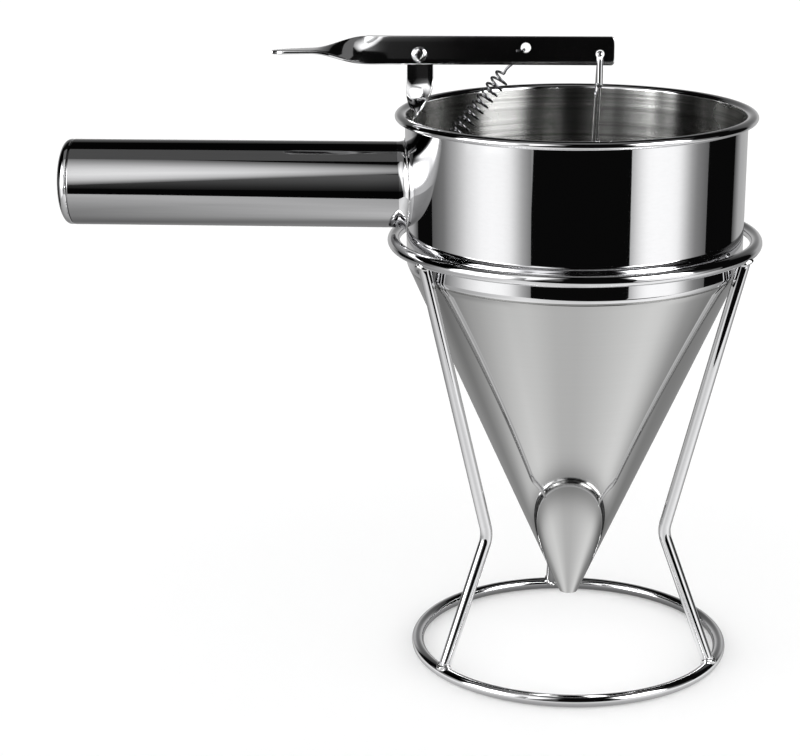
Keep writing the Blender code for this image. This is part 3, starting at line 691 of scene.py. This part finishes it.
def bar_mesh(name, centre, twist, width, thickness, edge):
    """Point = station + across x edge direction + through x face direction, closed at both ends."""
    along = unit(np.gradient(centre, axis=0))
    across = unit(y_axis - along * along[:, 1:2])
    upright_side = np.cross(across, along)
    edge_side = upright_side * np.cos(twist)[:, None] + across * np.sin(twist)[:, None]
    face_side = np.cross(along, edge_side)
    section = bar_section(width, thickness, edge)
    points = centre[:, None] + edge_side[:, None] * section[:, :, :1] + face_side[:, None] * section[:, :, 1:]
    ends = []
    for station, direction in ((0, -1), (-1, 1)):
        middle = centre[station] + along[station] * direction * edge * 0.6
        inner = middle + (points[station] - centre[station]) * (1 - 2 * edge / thickness * 0.35)
        ends.append([inner, np.broadcast_to(middle, inner.shape)])
    return finish_mesh(grid_mesh(name, np.concatenate([ends[0][::-1], points, ends[1]]), False, True))


def cut_away(mesh, cutter_meshes):
    """Take the cutters out of a mesh, one after the other."""
    whole = linked("to_cut", mesh)
    cutters = [linked("cutter", cutter_mesh) for cutter_mesh in cutter_meshes]
    for cutter in cutters:
        modifier = whole.modifiers.new("cut", "BOOLEAN")
        modifier.operation = "DIFFERENCE"
        modifier.solver = "EXACT"
        modifier.object = cutter
    bpy.context.view_layer.update()
    result = bpy.data.meshes.new_from_object(whole.evaluated_get(bpy.context.evaluated_depsgraph_get()))
    for thing in cutters + [whole]:
        bpy.data.objects.remove(thing, do_unlink=True)
    result.shade_smooth()
    result.set_sharp_from_angle(angle=crease)
    return result


def drilled(mesh, holes):
    """Round holes, chamfered at both faces: each is (centre, axis, radius, depth, chamfer)."""
    drills = []
    for centre, axis, radius, depth, chamfer in holes:
        half = depth / 2
        profile = [(0, -4 * half), (radius + 3 * half + chamfer, -4 * half), (radius + chamfer, -half),
                   (radius, chamfer - half), (radius, half - chamfer), (radius + chamfer, half),
                   (radius + 3 * half + chamfer, 4 * half), (0, 4 * half)]
        drills.append(turned("drill", profile, 48, centre, axis, closed=False))
    return cut_away(mesh, drills)


def eased(share):
    """Goes from 0 to 1 with no corner at either end."""
    share = np.clip(share, 0, 1)
    return share * share * (3 - 2 * share)


# %% Lever
twist_start = pivot.x - 0.0120
twist_end = twist_start - 0.0310
over_twist = math.radians(5)                     # at the tip the front edge stands a little up
tab_drop = 0.0010                                # and the tab hangs a little down
nose = lever_high.x
tab_tip = lever_low.x
half_width = lever_width / 2
bar_edge = 0.00045
nose_round = 0.0010
chamfer = 0.0001
pivot_bore, rod_bore, spring_bore = 0.0018, 0.0017, 0.0020
straight = np.linspace(nose - nose_round, twist_start, 60)
twisting = np.linspace(twist_start, twist_end, 60)[1:]
tab_run = np.linspace(twist_end, tab_tip + half_width, 10)[1:]
round_angle = np.linspace(0, math.pi / 2, 16)[1:-1]
tab_round = tab_tip + half_width * (1 - np.sin(round_angle))
lever_x = np.concatenate([[nose, nose - 0.4 * nose_round], straight, twisting, tab_run, tab_round])
twist_share = (twist_start - lever_x) / (twist_start - twist_end)
tab_share = np.clip((twist_start - lever_x) / (twist_start - tab_tip), 0, 1) ** 2
lever_twist = math.pi / 2 * eased(twist_share) + over_twist * tab_share
lever_widths = np.concatenate([[lever_width - 1.6 * nose_round, lever_width - 0.5 * nose_round],
                               np.full(len(straight) + len(twisting) + len(tab_run), lever_width),
                               lever_width * np.cos(round_angle)])
lever_centre = np.stack([lever_x, np.zeros_like(lever_x), lever_height - tab_drop * tab_share], axis=1)
lever_bar = bar_mesh("lever_bar", lever_centre, lever_twist, lever_widths, lever_thickness, bar_edge)
spring_top = np.array([pivot.x + 0.0420, 0, lever_height + 0.0012])
lever_holes = [(pivot, y_axis, pivot_bore, lever_thickness, chamfer),
               (rod_hook, y_axis, rod_bore, lever_thickness, chamfer),
               (spring_top, y_axis, spring_bore, lever_thickness, 1.5 * chamfer)]
add_piece("polished_lever", drilled(lever_bar, lever_holes), mirror_bar, "lever", ["lever"])

# %% [markdown]
# ## The pivot bracket
# A strap stands behind the lever with its face to the front, turns a quarter as it drops to the
# wall, runs down the wall as a spot-welded foot and ends in an ear, turned inwards, with the
# spring's lower hole.

# %% Bracket
strap_width = 0.0105
strap_thickness = 0.0012
washer_thickness = 0.0008
strap_y = lever_thickness / 2 + running_gap + washer_thickness + running_gap + strap_thickness / 2
foot_reach = math.sqrt((cup_radius - sheet) ** 2 - (strap_width / 2) ** 2) - running_gap - strap_thickness / 2
foot_top = rim_height - 0.0075
ear_height = foot_top - 0.0120
ear_length = 0.0118
ear_hole_inset = 0.0030
ear_bore = 0.0016
fold_radius = 0.003
twist_power = 1.5
foot_x = axis_x - foot_reach
anchor = np.array([foot_x + ear_length - ear_hole_inset, 0, ear_height])


def strap_route():
    """Stations from the ear up the wall, through the twist, to the round eye at the top."""
    eye = strap_width / 2
    drop = 0.0095
    twist_length = 0.0150
    lean = 0.0016
    top = np.array([pivot.x, strap_y, pivot.z])
    twist_top = top - (0, 0, drop)
    twist_foot = np.array([pivot.x - lean, 0, twist_top[2] - twist_length])
    angle = np.linspace(0, math.pi / 2, 14)[1:]
    eye_places = np.stack(np.broadcast_arrays(top[0], top[1], top[2] + eye * np.cos(angle)), axis=1)
    shares = np.linspace(0, 1, 40)
    ease = eased(shares)
    twisting = np.stack([twist_top[0] + (twist_foot[0] - twist_top[0]) * ease,
                         twist_top[1] * (1 - ease), twist_top[2] - twist_length * shares], axis=1)
    foot = np.array([foot_x, 0, foot_top])
    corner = np.array([foot_x, 0, ear_height])
    ear_end = corner + (ear_length, 0, 0)
    bends = np.concatenate([rounded_corner(twist_foot, foot, corner, fold_radius, 12),
                            rounded_corner(foot, corner, ear_end, fold_radius, 12)])
    run = ear_end - np.array([[0.003, 0, 0], [0.0012, 0, 0], [0.0003, 0, 0], [0, 0, 0]])
    centre = np.concatenate([eye_places, twisting, bends, run])
    flat = np.full(len(bends) + len(run), math.pi / 2)
    twist = np.concatenate([np.zeros(len(angle)), math.pi / 2 * shares ** twist_power, flat])
    width = np.full(len(centre), strap_width)
    width[:len(angle)] = strap_width * np.sin(angle)
    width[-2:] = strap_width - np.array([0.0006, 0.0022])
    return centre, twist, width


strap_centre, strap_twist, strap_widths = strap_route()
strap_edge = 0.0002
strap = bar_mesh("strap", strap_centre, strap_twist, strap_widths, strap_thickness, strap_edge)
strap_holes = [((pivot.x, strap_y, pivot.z), y_axis, pivot_bore, strap_thickness, chamfer),
               (anchor, z_axis, ear_bore, strap_thickness, chamfer)]
add_piece("pivot_strap", drilled(strap, strap_holes), mirror_bar, "funnel", ["pivot_bracket"])

# %% [markdown]
# ## Screw, washer and nut
# A small pan-head screw with a cross recess joins lever and strap, with a washer between them and
# a chamfered hexagon nut behind. The nut's outline is the flat-sided one, at most as wide as the
# chamfer's cone allows.

# %% Screw
screw_steps = 48
screw_radius = 0.0015
head_radius = 0.0030
head_height = 0.0020
head_edge = 0.0002
head_back = -lever_thickness / 2 - running_gap
washer_front = lever_thickness / 2 + running_gap
washer_back = washer_front + washer_thickness
nut_front = washer_back + running_gap + strap_thickness + running_gap
nut_thickness = 0.0022
shank_past_nut = 0.0008
shank_end = nut_front + nut_thickness + shank_past_nut
nick = 0.0003                                    # small edge of turned pieces
thread_pitch = 0.0005
skirt = head_height / 3
crown = arc((0, 0), 1.0, math.pi / 2, 0, 16)
crown_profile = np.stack([head_radius * np.clip(crown[:, 0], 0, 1),
                          head_back - skirt - (head_height - skirt) * crown[:, 1]], axis=1)
shank_rows = np.linspace(head_back, shank_end - nick, 140)
under_head = [(head_radius, head_back - head_edge), (head_radius - head_edge, head_back)]
shank = np.stack([np.full(len(shank_rows), screw_radius), shank_rows], axis=1)
screw_end = [(screw_radius - nick, shank_end), (0, shank_end)]
screw_profile = np.concatenate([crown_profile, under_head, shank, screw_end])
screw_points = turned_points(screw_profile, screw_steps, pivot, y_axis)
first_row = len(crown_profile) + len(under_head)
threads = screw_points[:, first_row:first_row + len(shank_rows)]
turn_share = np.arange(screw_steps)[:, None] / screw_steps
phase = (shank_rows[None] / thread_pitch + turn_share) % 1.0
ridge = 1 - 0.10 * np.abs(2 * phase - 1)
centre_line = np.array(pivot) + y_axis * shank_rows[None, :, None]
threads[:] = centre_line + (threads - centre_line) * ridge[:, :, None]
screw_mesh = finish_mesh(grid_mesh("screw", screw_points, True, False))
slot_long, slot_short = 0.0020, 0.00058          # half the length and half the width of one slot


def slot_cutter(half_x, half_z):
    """Tapered block that stands before the head and narrows into it."""
    front = head_back - head_height
    corners = [(pivot.x + x_sign * half_x * grow, depth, pivot.z + z_sign * half_z * grow)
               for depth, grow in ((front - 0.0006, 1.25), (front + 0.0012, 0.62))
               for x_sign, z_sign in ((-1, -1), (1, -1), (1, 1), (-1, 1))]
    faces = [(0, 1, 2, 3), (7, 6, 5, 4), (0, 4, 5, 1), (1, 5, 6, 2), (2, 6, 7, 3), (3, 7, 4, 0)]
    mesh = bpy.data.meshes.new("slot")
    mesh.from_pydata(corners, [], faces)
    return finish_mesh(mesh)


recessed = cut_away(screw_mesh, [slot_cutter(slot_long, slot_short), slot_cutter(slot_short, slot_long)])
add_piece("cross_screw", recessed, plated, "funnel", ["pivot_screw"])

# %% Washer and nut
bore = screw_radius + running_gap
washer_radius = 0.0034
soft_edge = 0.00012
washer_profile = [(bore, washer_front), (washer_radius - soft_edge, washer_front),
                  (washer_radius, washer_front + soft_edge), (washer_radius, washer_back - soft_edge),
                  (washer_radius - soft_edge, washer_back), (bore, washer_back)]
washer_mesh = turned("washer", washer_profile, 64, pivot, y_axis)
add_piece("plain_washer", washer_mesh, plated, "funnel", ["pivot_washer"])

flat_reach = 0.0055 / 2
nut_steps = 96
nut_rows = nut_front + np.array([0, 0, nick, nut_thickness / 2, nut_thickness - nick,
                                 nut_thickness, nut_thickness])
cone_shares = [0.98, 1.17, 1.17, 1.17, 0.98]     # the chamfer's cone, narrower at the two faces
cone_limit = np.array([bore] + [flat_reach * share for share in cone_shares] + [bore])
nut_points = turned_points(np.stack([np.ones(len(nut_rows)), nut_rows], axis=1), nut_steps, pivot, y_axis)
nut_angle = math.tau * np.arange(nut_steps) / nut_steps
hexagon = flat_reach / np.cos((nut_angle + math.pi / 6) % (math.pi / 3) - math.pi / 6)
nut_radius = np.minimum(hexagon[:, None], cone_limit[None])
nut_line = np.array(pivot) + y_axis * nut_rows[None, :, None]
nut_points = nut_line + (nut_points - nut_line) * nut_radius[:, :, None]
nut_mesh = finish_mesh(grid_mesh("nut", nut_points, True, True), sharp=math.radians(25))
add_piece("hexagon_nut", nut_mesh, plated, "funnel", ["pivot_nut"])

# %% [markdown]
# ## The valve rod and plug
# The rod rises through the cone, leans a little to the right, goes forward through the lever in a
# hook and ends hanging in front of it. The plug is turned, and closes the cone from inside.

# %% Rod and plug
rod_radius = 0.00125
plug_nose = outlet_height + 0.0012
plug_shelf = plug_nose + 0.0075
collar_top = plug_shelf + 0.0040
collar_radius = 0.0030
socket_depth = 0.0070                            # how far the rod goes into the plug
rod_foot = collar_top - socket_depth + running_gap
rod_knee_height = 0.0150
rod_knee_radius = 0.0075
hook_length = 0.0128
bend = lever_thickness / 2 + running_gap + rod_radius
hook_angle = np.linspace(0, math.pi, 25)
hook_y, hook_z = bend * np.cos(hook_angle), bend * (np.sin(hook_angle) - 1)
hook = np.array(rod_hook) + np.stack([np.zeros_like(hook_angle), hook_y, hook_z], axis=1)
rod_start = np.array([axis_x, 0, rod_foot])
rod_knee = np.array([axis_x, 0, rod_foot - running_gap + rod_knee_height])
rod_bend = rounded_corner(rod_start, rod_knee, hook[0], rod_knee_radius, 8)
rise = rod_bend[-1] + (hook[0] - rod_bend[-1]) * np.linspace(0, 1, 40)[1:-1, None]
hang = hook[-1] - z_axis * (hook_length - bend) * np.linspace(0, 1, 10)[1:, None]
rod_route = np.concatenate([[rod_start], rod_bend, rise, hook, hang])
rod_mesh = wire("rod", rod_route, rod_radius, 24, (1, 0, 0))
add_piece("hooked_rod", rod_mesh, drawn_wire, "rod", ["valve_rod"])


def cone_inside(height):
    """Inside radius of the cone at a height above the outlet's edge."""
    return outlet_radius - sheet / math.cos(half_angle) + height * math.tan(half_angle)


plug_gap = running_gap / math.cos(half_angle)
nose_radius = cone_inside(plug_nose - outlet_height) - plug_gap
shelf_radius = cone_inside(plug_shelf - outlet_height) - plug_gap
plug_bore = rod_radius + running_gap
plug_profile = [(0, plug_nose), (nose_radius - nick, plug_nose), (nose_radius, plug_nose + nick),
                (shelf_radius - 0.0002, plug_shelf - 0.0004), (shelf_radius - 0.0006, plug_shelf),
                (collar_radius, plug_shelf), (collar_radius, collar_top - nick),
                (collar_radius - nick, collar_top), (plug_bore, collar_top),
                (plug_bore, collar_top - socket_depth), (0, collar_top - socket_depth)]
plug_mesh = turned("plug", plug_profile, 64, funnel_centre, closed=False)
add_piece("turned_plug", plug_mesh, satin_sheet, "rod", ["valve_plug"])

# %% [markdown]
# ## The return spring
# An open coil of thin wire between the bracket's ear and the lever, with a hook at each end. A
# coil is the sum of a straight climb and a circle. The spring stretches when the lever is
# pressed, so it is left on neither the funnel nor the lever.

# %% Spring
spring_wire = 0.0008
drawn_thickness = 0.0010                         # a little over the real wire, as the photo shows it
coil_radius = 0.00345 - spring_wire / 2
coil_turns = 13
spring_seat = 0.0012                             # the pulled wire lies off the hole's middle
turn_steps = 28
top_hook_length, foot_hook_length = 0.0140, 0.0062
upwards = unit(spring_top - anchor)
behind = y_axis
sideways = np.cross(behind, upwards)
coil_top = spring_top - upwards * top_hook_length
coil_foot = anchor + upwards * foot_hook_length
share = np.linspace(0, 1, coil_turns * turn_steps + 1)[:, None]
phase = math.tau * coil_turns * share
circle = coil_radius * (behind * np.cos(phase) - sideways * np.sin(phase))
coil = coil_top + (coil_foot - coil_top) * share + circle
clear = lever_thickness / 2 + running_gap + spring_wire
seat = spring_top - upwards * spring_seat
hole_back = seat + behind * clear
hole_front = seat - behind * clear
tail_end = hole_front - np.array([0.0030, 0, spring_wire / 2])
top_hook = smooth_route([tail_end, hole_front - np.array([0.0010, 0, 0.0002]), hole_front + behind * 0.0004,
                         seat, hole_back - behind * 0.0004, hole_back - upwards * 0.0012,
                         hole_back - upwards * 0.0050 - behind * 0.0002 + sideways * 0.0004,
                         coil[0] + upwards * 0.0026 + sideways * -0.0004, coil[0]], 8)
above = anchor + z_axis * (strap_thickness / 2 + 2 * spring_wire)
below = anchor - z_axis * (strap_thickness / 2 + spring_wire)
foot_hook = smooth_route([coil[-1], coil[-1] - upwards * 0.0022 + sideways * 0.0006,
                          above + behind * 0.0008 + upwards * 0.0008, above - behind * 0.0002, anchor, below,
                          below - np.array([2 * spring_wire, 0, spring_wire])], 8)
spring_route = np.concatenate([top_hook[:-1], coil, foot_hook[1:]])
spring_mesh = wire("spring", spring_route, drawn_thickness / 2, 12, z_axis)
spring = add_piece("coil_spring", spring_mesh, dark_reflection_wire, None, ["return_spring"])
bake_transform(spring)

# %% [markdown]
# ## The studio
# Steel needs something to reflect, so the set is planned backwards from the bands in the steel.
# Walls of soft light stand well back to the left, to the right and behind, bent round the object
# like sheets of paper. Between them, and all along the front, it is dark: those gaps are the black
# bands. A wedge of light high in front makes the streak on the handle, and a pale table top under
# the stand lights the cone from below. All of these are seen in the steel only, not by the camera.
#
# Every card is a grid of points, and each point carries its own level of light. A soft edge or a
# fading wall is then a curve through a few listed stops.

# %% Cards of light
def card_light(name, see_through):
    """Light as strong as the card's own level. The see-through kind adds to what is behind it."""
    material, tree, shader = new_material(name)
    light = put(tree, "Emission", {"Strength": put(tree, "Attribute", {}, "Fac", attribute_name="level")})
    if see_through:
        light = put(tree, "AddShader", {0: light, 1: put(tree, "BsdfTransparent", {})})
    fill(tree, tree.nodes["Material Output"], {"Surface": light})
    tree.nodes.remove(shader)
    return material


def light_card(name, points, levels, material):
    """A card of light from a grid of points with a level for each, seen in reflections only."""
    mesh = grid_mesh(name, points)
    level = mesh.attributes.new("level", "FLOAT", "POINT")
    level.data.foreach_set("value", levels.ravel().astype(np.float32))
    mesh.materials.append(material)
    panel = linked(name, mesh)
    panel.visible_camera = panel.visible_diffuse = panel.visible_shadow = False
    panel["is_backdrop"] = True
    print("%s: levels up to %.2f" % (name, levels.max()))


def soft_curve(stops, at, blur):
    """Straight lines between the (place, level) stops, averaged over blur to either side."""
    places, levels = np.array(stops, float).T
    return np.mean([np.interp(at + offset, places, levels) for offset in np.linspace(-blur, blur, 9)], axis=0)


wall_light = card_light("wall_light", False)
lamp_light = card_light("lamp_light", True)

# %% Walls of light
wall_reach = 1.2
lamp_reach = 1.16
wall_foot = -0.45


def bent_wall(name, bearings, rise, strength, reach=wall_reach, material=wall_light, kept=((0, 1), (1, 1))):
    """Wall round the funnel's axis. Stops are (degrees, level), 0 to the front and 90 to the right,
    and (height, level). What stands above hand height is kept by a share for each bearing."""
    degrees = np.linspace(bearings[0][0], bearings[-1][0], 161)[:, None]
    height = np.linspace(rise[0][0], rise[-1][0], 61)[None]
    bearing = np.radians(degrees)
    points = surface(axis_x + reach * np.sin(bearing), -reach * np.cos(bearing), height)
    above = eased((height - 0.1) / 0.3) * (1 - soft_curve(kept, degrees, 2.0))
    levels = strength * soft_curve(bearings, degrees, 1.5) * soft_curve(rise, height, 0.04) * (1 - above)
    light_card(name, points, levels, material)


side_rise = [(wall_foot, 1.0), (0.1, 1.0), (0.5, 1.11), (0.72, 0.89), (1.0, 0.40), (1.3, 0.14), (1.6, 0.02)]
left_bearings = [(-109, 0.09), (-96, 0.17), (-84, 0.43), (-73.5, 0.75), (-63, 0.96), (-55, 1.0), (-47, 0.97),
                 (-42, 0.85), (-37.8, 0.62), (-33.7, 0.385), (-27.7, 0.19)]
right_bearings = [(36.5, 0.42), (40.1, 0.63), (44.2, 0.84), (48.4, 0.97), (53, 1.0), (61.5, 0.99), (66, 0.98),
                  (71, 0.89), (76, 0.62), (81, 0.36), (86.3, 0.21), (96.5, 0.11)]
back_bearings = [(130, 0.15), (141, 0.85), (155, 1.0), (205, 1.0), (219, 0.85), (230, 0.15)]
back_rise = [(wall_foot, 1.0), (0.3, 1.0), (0.45, 0.5), (0.6, 0.3), (1.0, 0.1)]
left_kept = [(-109, 0), (-80, 0), (-72, 1), (-27, 1)]
right_kept = [(36, 1), (66, 1), (76, 0.1), (97, 0)]
left_lamp = [(-82, 0), (-77, 0), (-74, 0.5), (-71, 0.42), (-68, 0.13), (-64, 0.13), (-60, 0.6), (-57, 1.0),
             (-51, 0.76), (-46, 0.48), (-40, 0.20), (-34, 0.03), (-28, 0)]
left_lamp_rise = [(0, 0), (0.06, 0.05), (0.11, 0.5), (0.2, 0.8), (0.35, 1.0), (0.8, 1.0),
                  (1.05, 0.3), (1.3, 0)]
right_lamp = [(32, 0), (36, 0.05), (41, 0.5), (47, 0.85), (52, 0.82), (65, 0.78), (70, 0.8), (72.5, 0.8),
              (74, 0), (77, 0)]
right_lamp_rise = [(0.24, 0), (0.30, 0), (0.42, 0.9), (0.6, 1.0), (1.2, 1.0), (1.32, 0), (1.4, 0)]
bent_wall("left_wall", left_bearings, side_rise, 1.09, kept=left_kept)
bent_wall("right_wall", right_bearings, side_rise, 1.11, kept=right_kept)
bent_wall("back_wall", back_bearings, back_rise, 0.48)
bent_wall("left_lamp", left_lamp, left_lamp_rise, 8.8, lamp_reach, lamp_light)
bent_wall("right_lamp", right_lamp, right_lamp_rise, 10.0, lamp_reach, lamp_light)

# %% Wedge of light and dim ceiling
wedge_reach = 1.2
wedge_strength, tail_strength, ceiling_level = 1.68, 0.17, 0.14
ceiling_height = 1.28
wedge_run = np.linspace(0, 1, 97)[:, None]
wedge_share = np.linspace(0, 1, 65)[None]
wedge_x = -1.0 + 1.1 * wedge_run
open_from, open_over = -0.19, 0.26               # where the wedge starts to open to the left, how fast
taper = np.clip((open_from - wedge_x) / open_over, -0.3, 1.8)
wedge_low = np.radians(35 - 30 * taper)
wedge_high = np.radians(65 + 12 * taper)
elevation = wedge_low + (wedge_high - wedge_low) * wedge_share
wedge = surface(axis_x + wedge_x, -wedge_reach * np.cos(elevation),
                handle_height + wedge_reach * np.sin(elevation))
run_stops = [(0, 0), (0.3, 0.7), (0.52, 1.0), (0.64, 0.85), (0.76, 0.42), (0.81, 0.2), (0.85, 0), (1, 0)]
share_stops = [(0, 0.12), (0.16, 0.7), (0.36, 1.0), (0.6, 0.78), (0.8, 0.42), (1, 0.12)]
wedge_levels = wedge_strength * soft_curve(run_stops, wedge_run, 0.04)
wedge_levels = wedge_levels * soft_curve(share_stops, wedge_share, 0.05)
light_card("wedge", wedge, wedge_levels, wall_light)
tail_x = np.linspace(-0.75, -0.12, 17)[:, None]
tail_z = np.linspace(0.04, 1.12, 49)[None]
tail_rise = [(0.04, 0.1), (0.25, 0.3), (0.47, 0.6), (0.75, 0.95), (1.12, 1.1)]
tail_levels = tail_strength * soft_curve([(-0.17, 1), (-0.12, 0)], tail_x, 0.02)
tail_levels = tail_levels * soft_curve(tail_rise, tail_z, 0.03)
light_card("tail", surface(axis_x + tail_x, -wedge_reach - 0.05, tail_z), tail_levels, wall_light)
ceiling_x, ceiling_y = np.linspace(-0.9, 0.9, 3)[:, None], np.linspace(-0.32, 0.36, 3)[None]
ceiling = surface(axis_x + ceiling_x, ceiling_y, ceiling_height)
light_card("ceiling", ceiling, np.full(ceiling.shape[:2], ceiling_level), wall_light)

# %% Table top
table_radius = 0.58
table_strength = 0.972
table_degrees = np.linspace(-180, 180, 121)[:, None]
table_bearing = np.radians(table_degrees)
edge_middle, edge_slope = -0.32, 0.57            # the front edge: where it crosses the middle, how it slants
toward = -np.cos(table_bearing) - edge_slope * np.sin(table_bearing)
to_edge = np.where(toward < -0.05, edge_middle / np.minimum(toward, -0.05), table_radius)
table_reach = np.minimum(np.linspace(0, table_radius, 233)[None], to_edge)
table_height = -0.0005
table = surface(axis_x + table_reach * np.sin(table_bearing), -table_reach * np.cos(table_bearing),
                table_height)
near_levels = [(-180, 0.32), (-118, 0.38), (-103, 0.54), (-88, 0.80), (-70, 0.97), (-52, 1.06), (-36, 0.93),
               (-14, 0.76), (4, 0.75), (24, 0.84), (46, 0.98), (62, 1.08), (72, 1.04), (84, 0.80), (97, 0.50),
               (116, 0.31), (180, 0.32)]
far_shares = [(-180, 1.0), (-138, 1.0), (-117, 0.58), (-95, 0.52), (-79, 0.48), (-67, 0.52), (-56, 0.60),
              (-45, 0.72), (-35, 0.94), (-26, 0.95), (180, 1.0)]
fall = np.clip((table_reach - 0.08) / 0.17, 0, 1)
# Painted contact shadow: the table's light dips in a soft band along the base ring.
painted_ring_shadow, painted_ring_shadow_width = 0.55, 0.009       # the table is darker beside the base ring
from_ring = (table_reach - base_ring_radius) / painted_ring_shadow_width
near = soft_curve(near_levels, table_degrees, 3.0)
far = 1 - (1 - soft_curve(far_shares, table_degrees, 3.0)) * fall
table_levels = table_strength * near * far * (1 - painted_ring_shadow * np.exp(-from_ring ** 2))
light_card("table_top", table, table_levels, wall_light)

# %% [markdown]
# ## Floor and world
# The floor is matt white paper that takes the shadows. The light stays at a plain level, and on
# camera rays alone the paper glows a little, until it is white. The steel sees the table top in
# its place. The world is white to the camera and nearly black to the steel. It lights the paper
# mostly from low down, so the ring on the table has a shadow and the funnel high above hardly any.

# %% Floor
floor_size = 6.0
paper_glow = 0.14
floor_mesh = bpy.data.meshes.new("floor")
floor_corners = [(x * floor_size, y * floor_size, 0) for x, y in ((-1, -1), (1, -1), (1, 1), (-1, 1))]
floor_mesh.from_pydata(floor_corners, [], [(0, 1, 2, 3)])
floor = linked("floor", floor_mesh)
floor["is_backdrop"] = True
floor.visible_glossy = False
paper, tree, shader = new_material("floor_paper")
seen = put(tree, "LightPath", {}, "Is Camera Ray")
glow = put(tree, "Math", {0: seen, 1: paper_glow}, operation="MULTIPLY")
fill(tree, shader, {"Base Color": (0.82, 0.82, 0.82, 1), "Roughness": 1.0, "Specular IOR Level": 0.0,
                    "Emission Color": (1, 1, 1, 1), "Emission Strength": glow})
floor_mesh.materials.append(paper)

# %% World
sky_low, sky_high = 2.9, 0.3                     # light for the paper, at the horizon and overhead
steel_sees = 0.003
world = bpy.data.worlds.new("studio")
bpy.context.scene.world = world
world.use_nodes = True
tree = world.node_tree
rise = put(tree, "SeparateXYZ", {"Vector": put(tree, "TexCoord", {}, "Generated")}, "Z")
sky = put(tree, "MapRange", {"Value": rise, "To Min": sky_low, "To Max": sky_high})
for_paper = put(tree, "LightPath", {}, "Is Diffuse Ray")
for_camera = put(tree, "LightPath", {}, "Is Camera Ray")
unseen = put(tree, "Mix", {"Factor": for_paper, "A": steel_sees, "B": sky})
strength = put(tree, "Mix", {"Factor": for_camera, "A": unseen, "B": 1.0})
fill(tree, tree.nodes["Background"], {"Color": (1, 1, 1, 1), "Strength": strength})
bpy.context.scene.view_settings.view_transform = "Standard"

# %% [markdown]
# ## Measure and finish
# The imported box and the finished one are printed side by side. The looks may not change the
# size.

# %% Write the sizes and finish
new_low, new_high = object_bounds()
for title, low, high in (("packed", cad_low, cad_high), ("finished", new_low, new_high)):
    print("size,", title, [round(value, 4) for value in high - low])
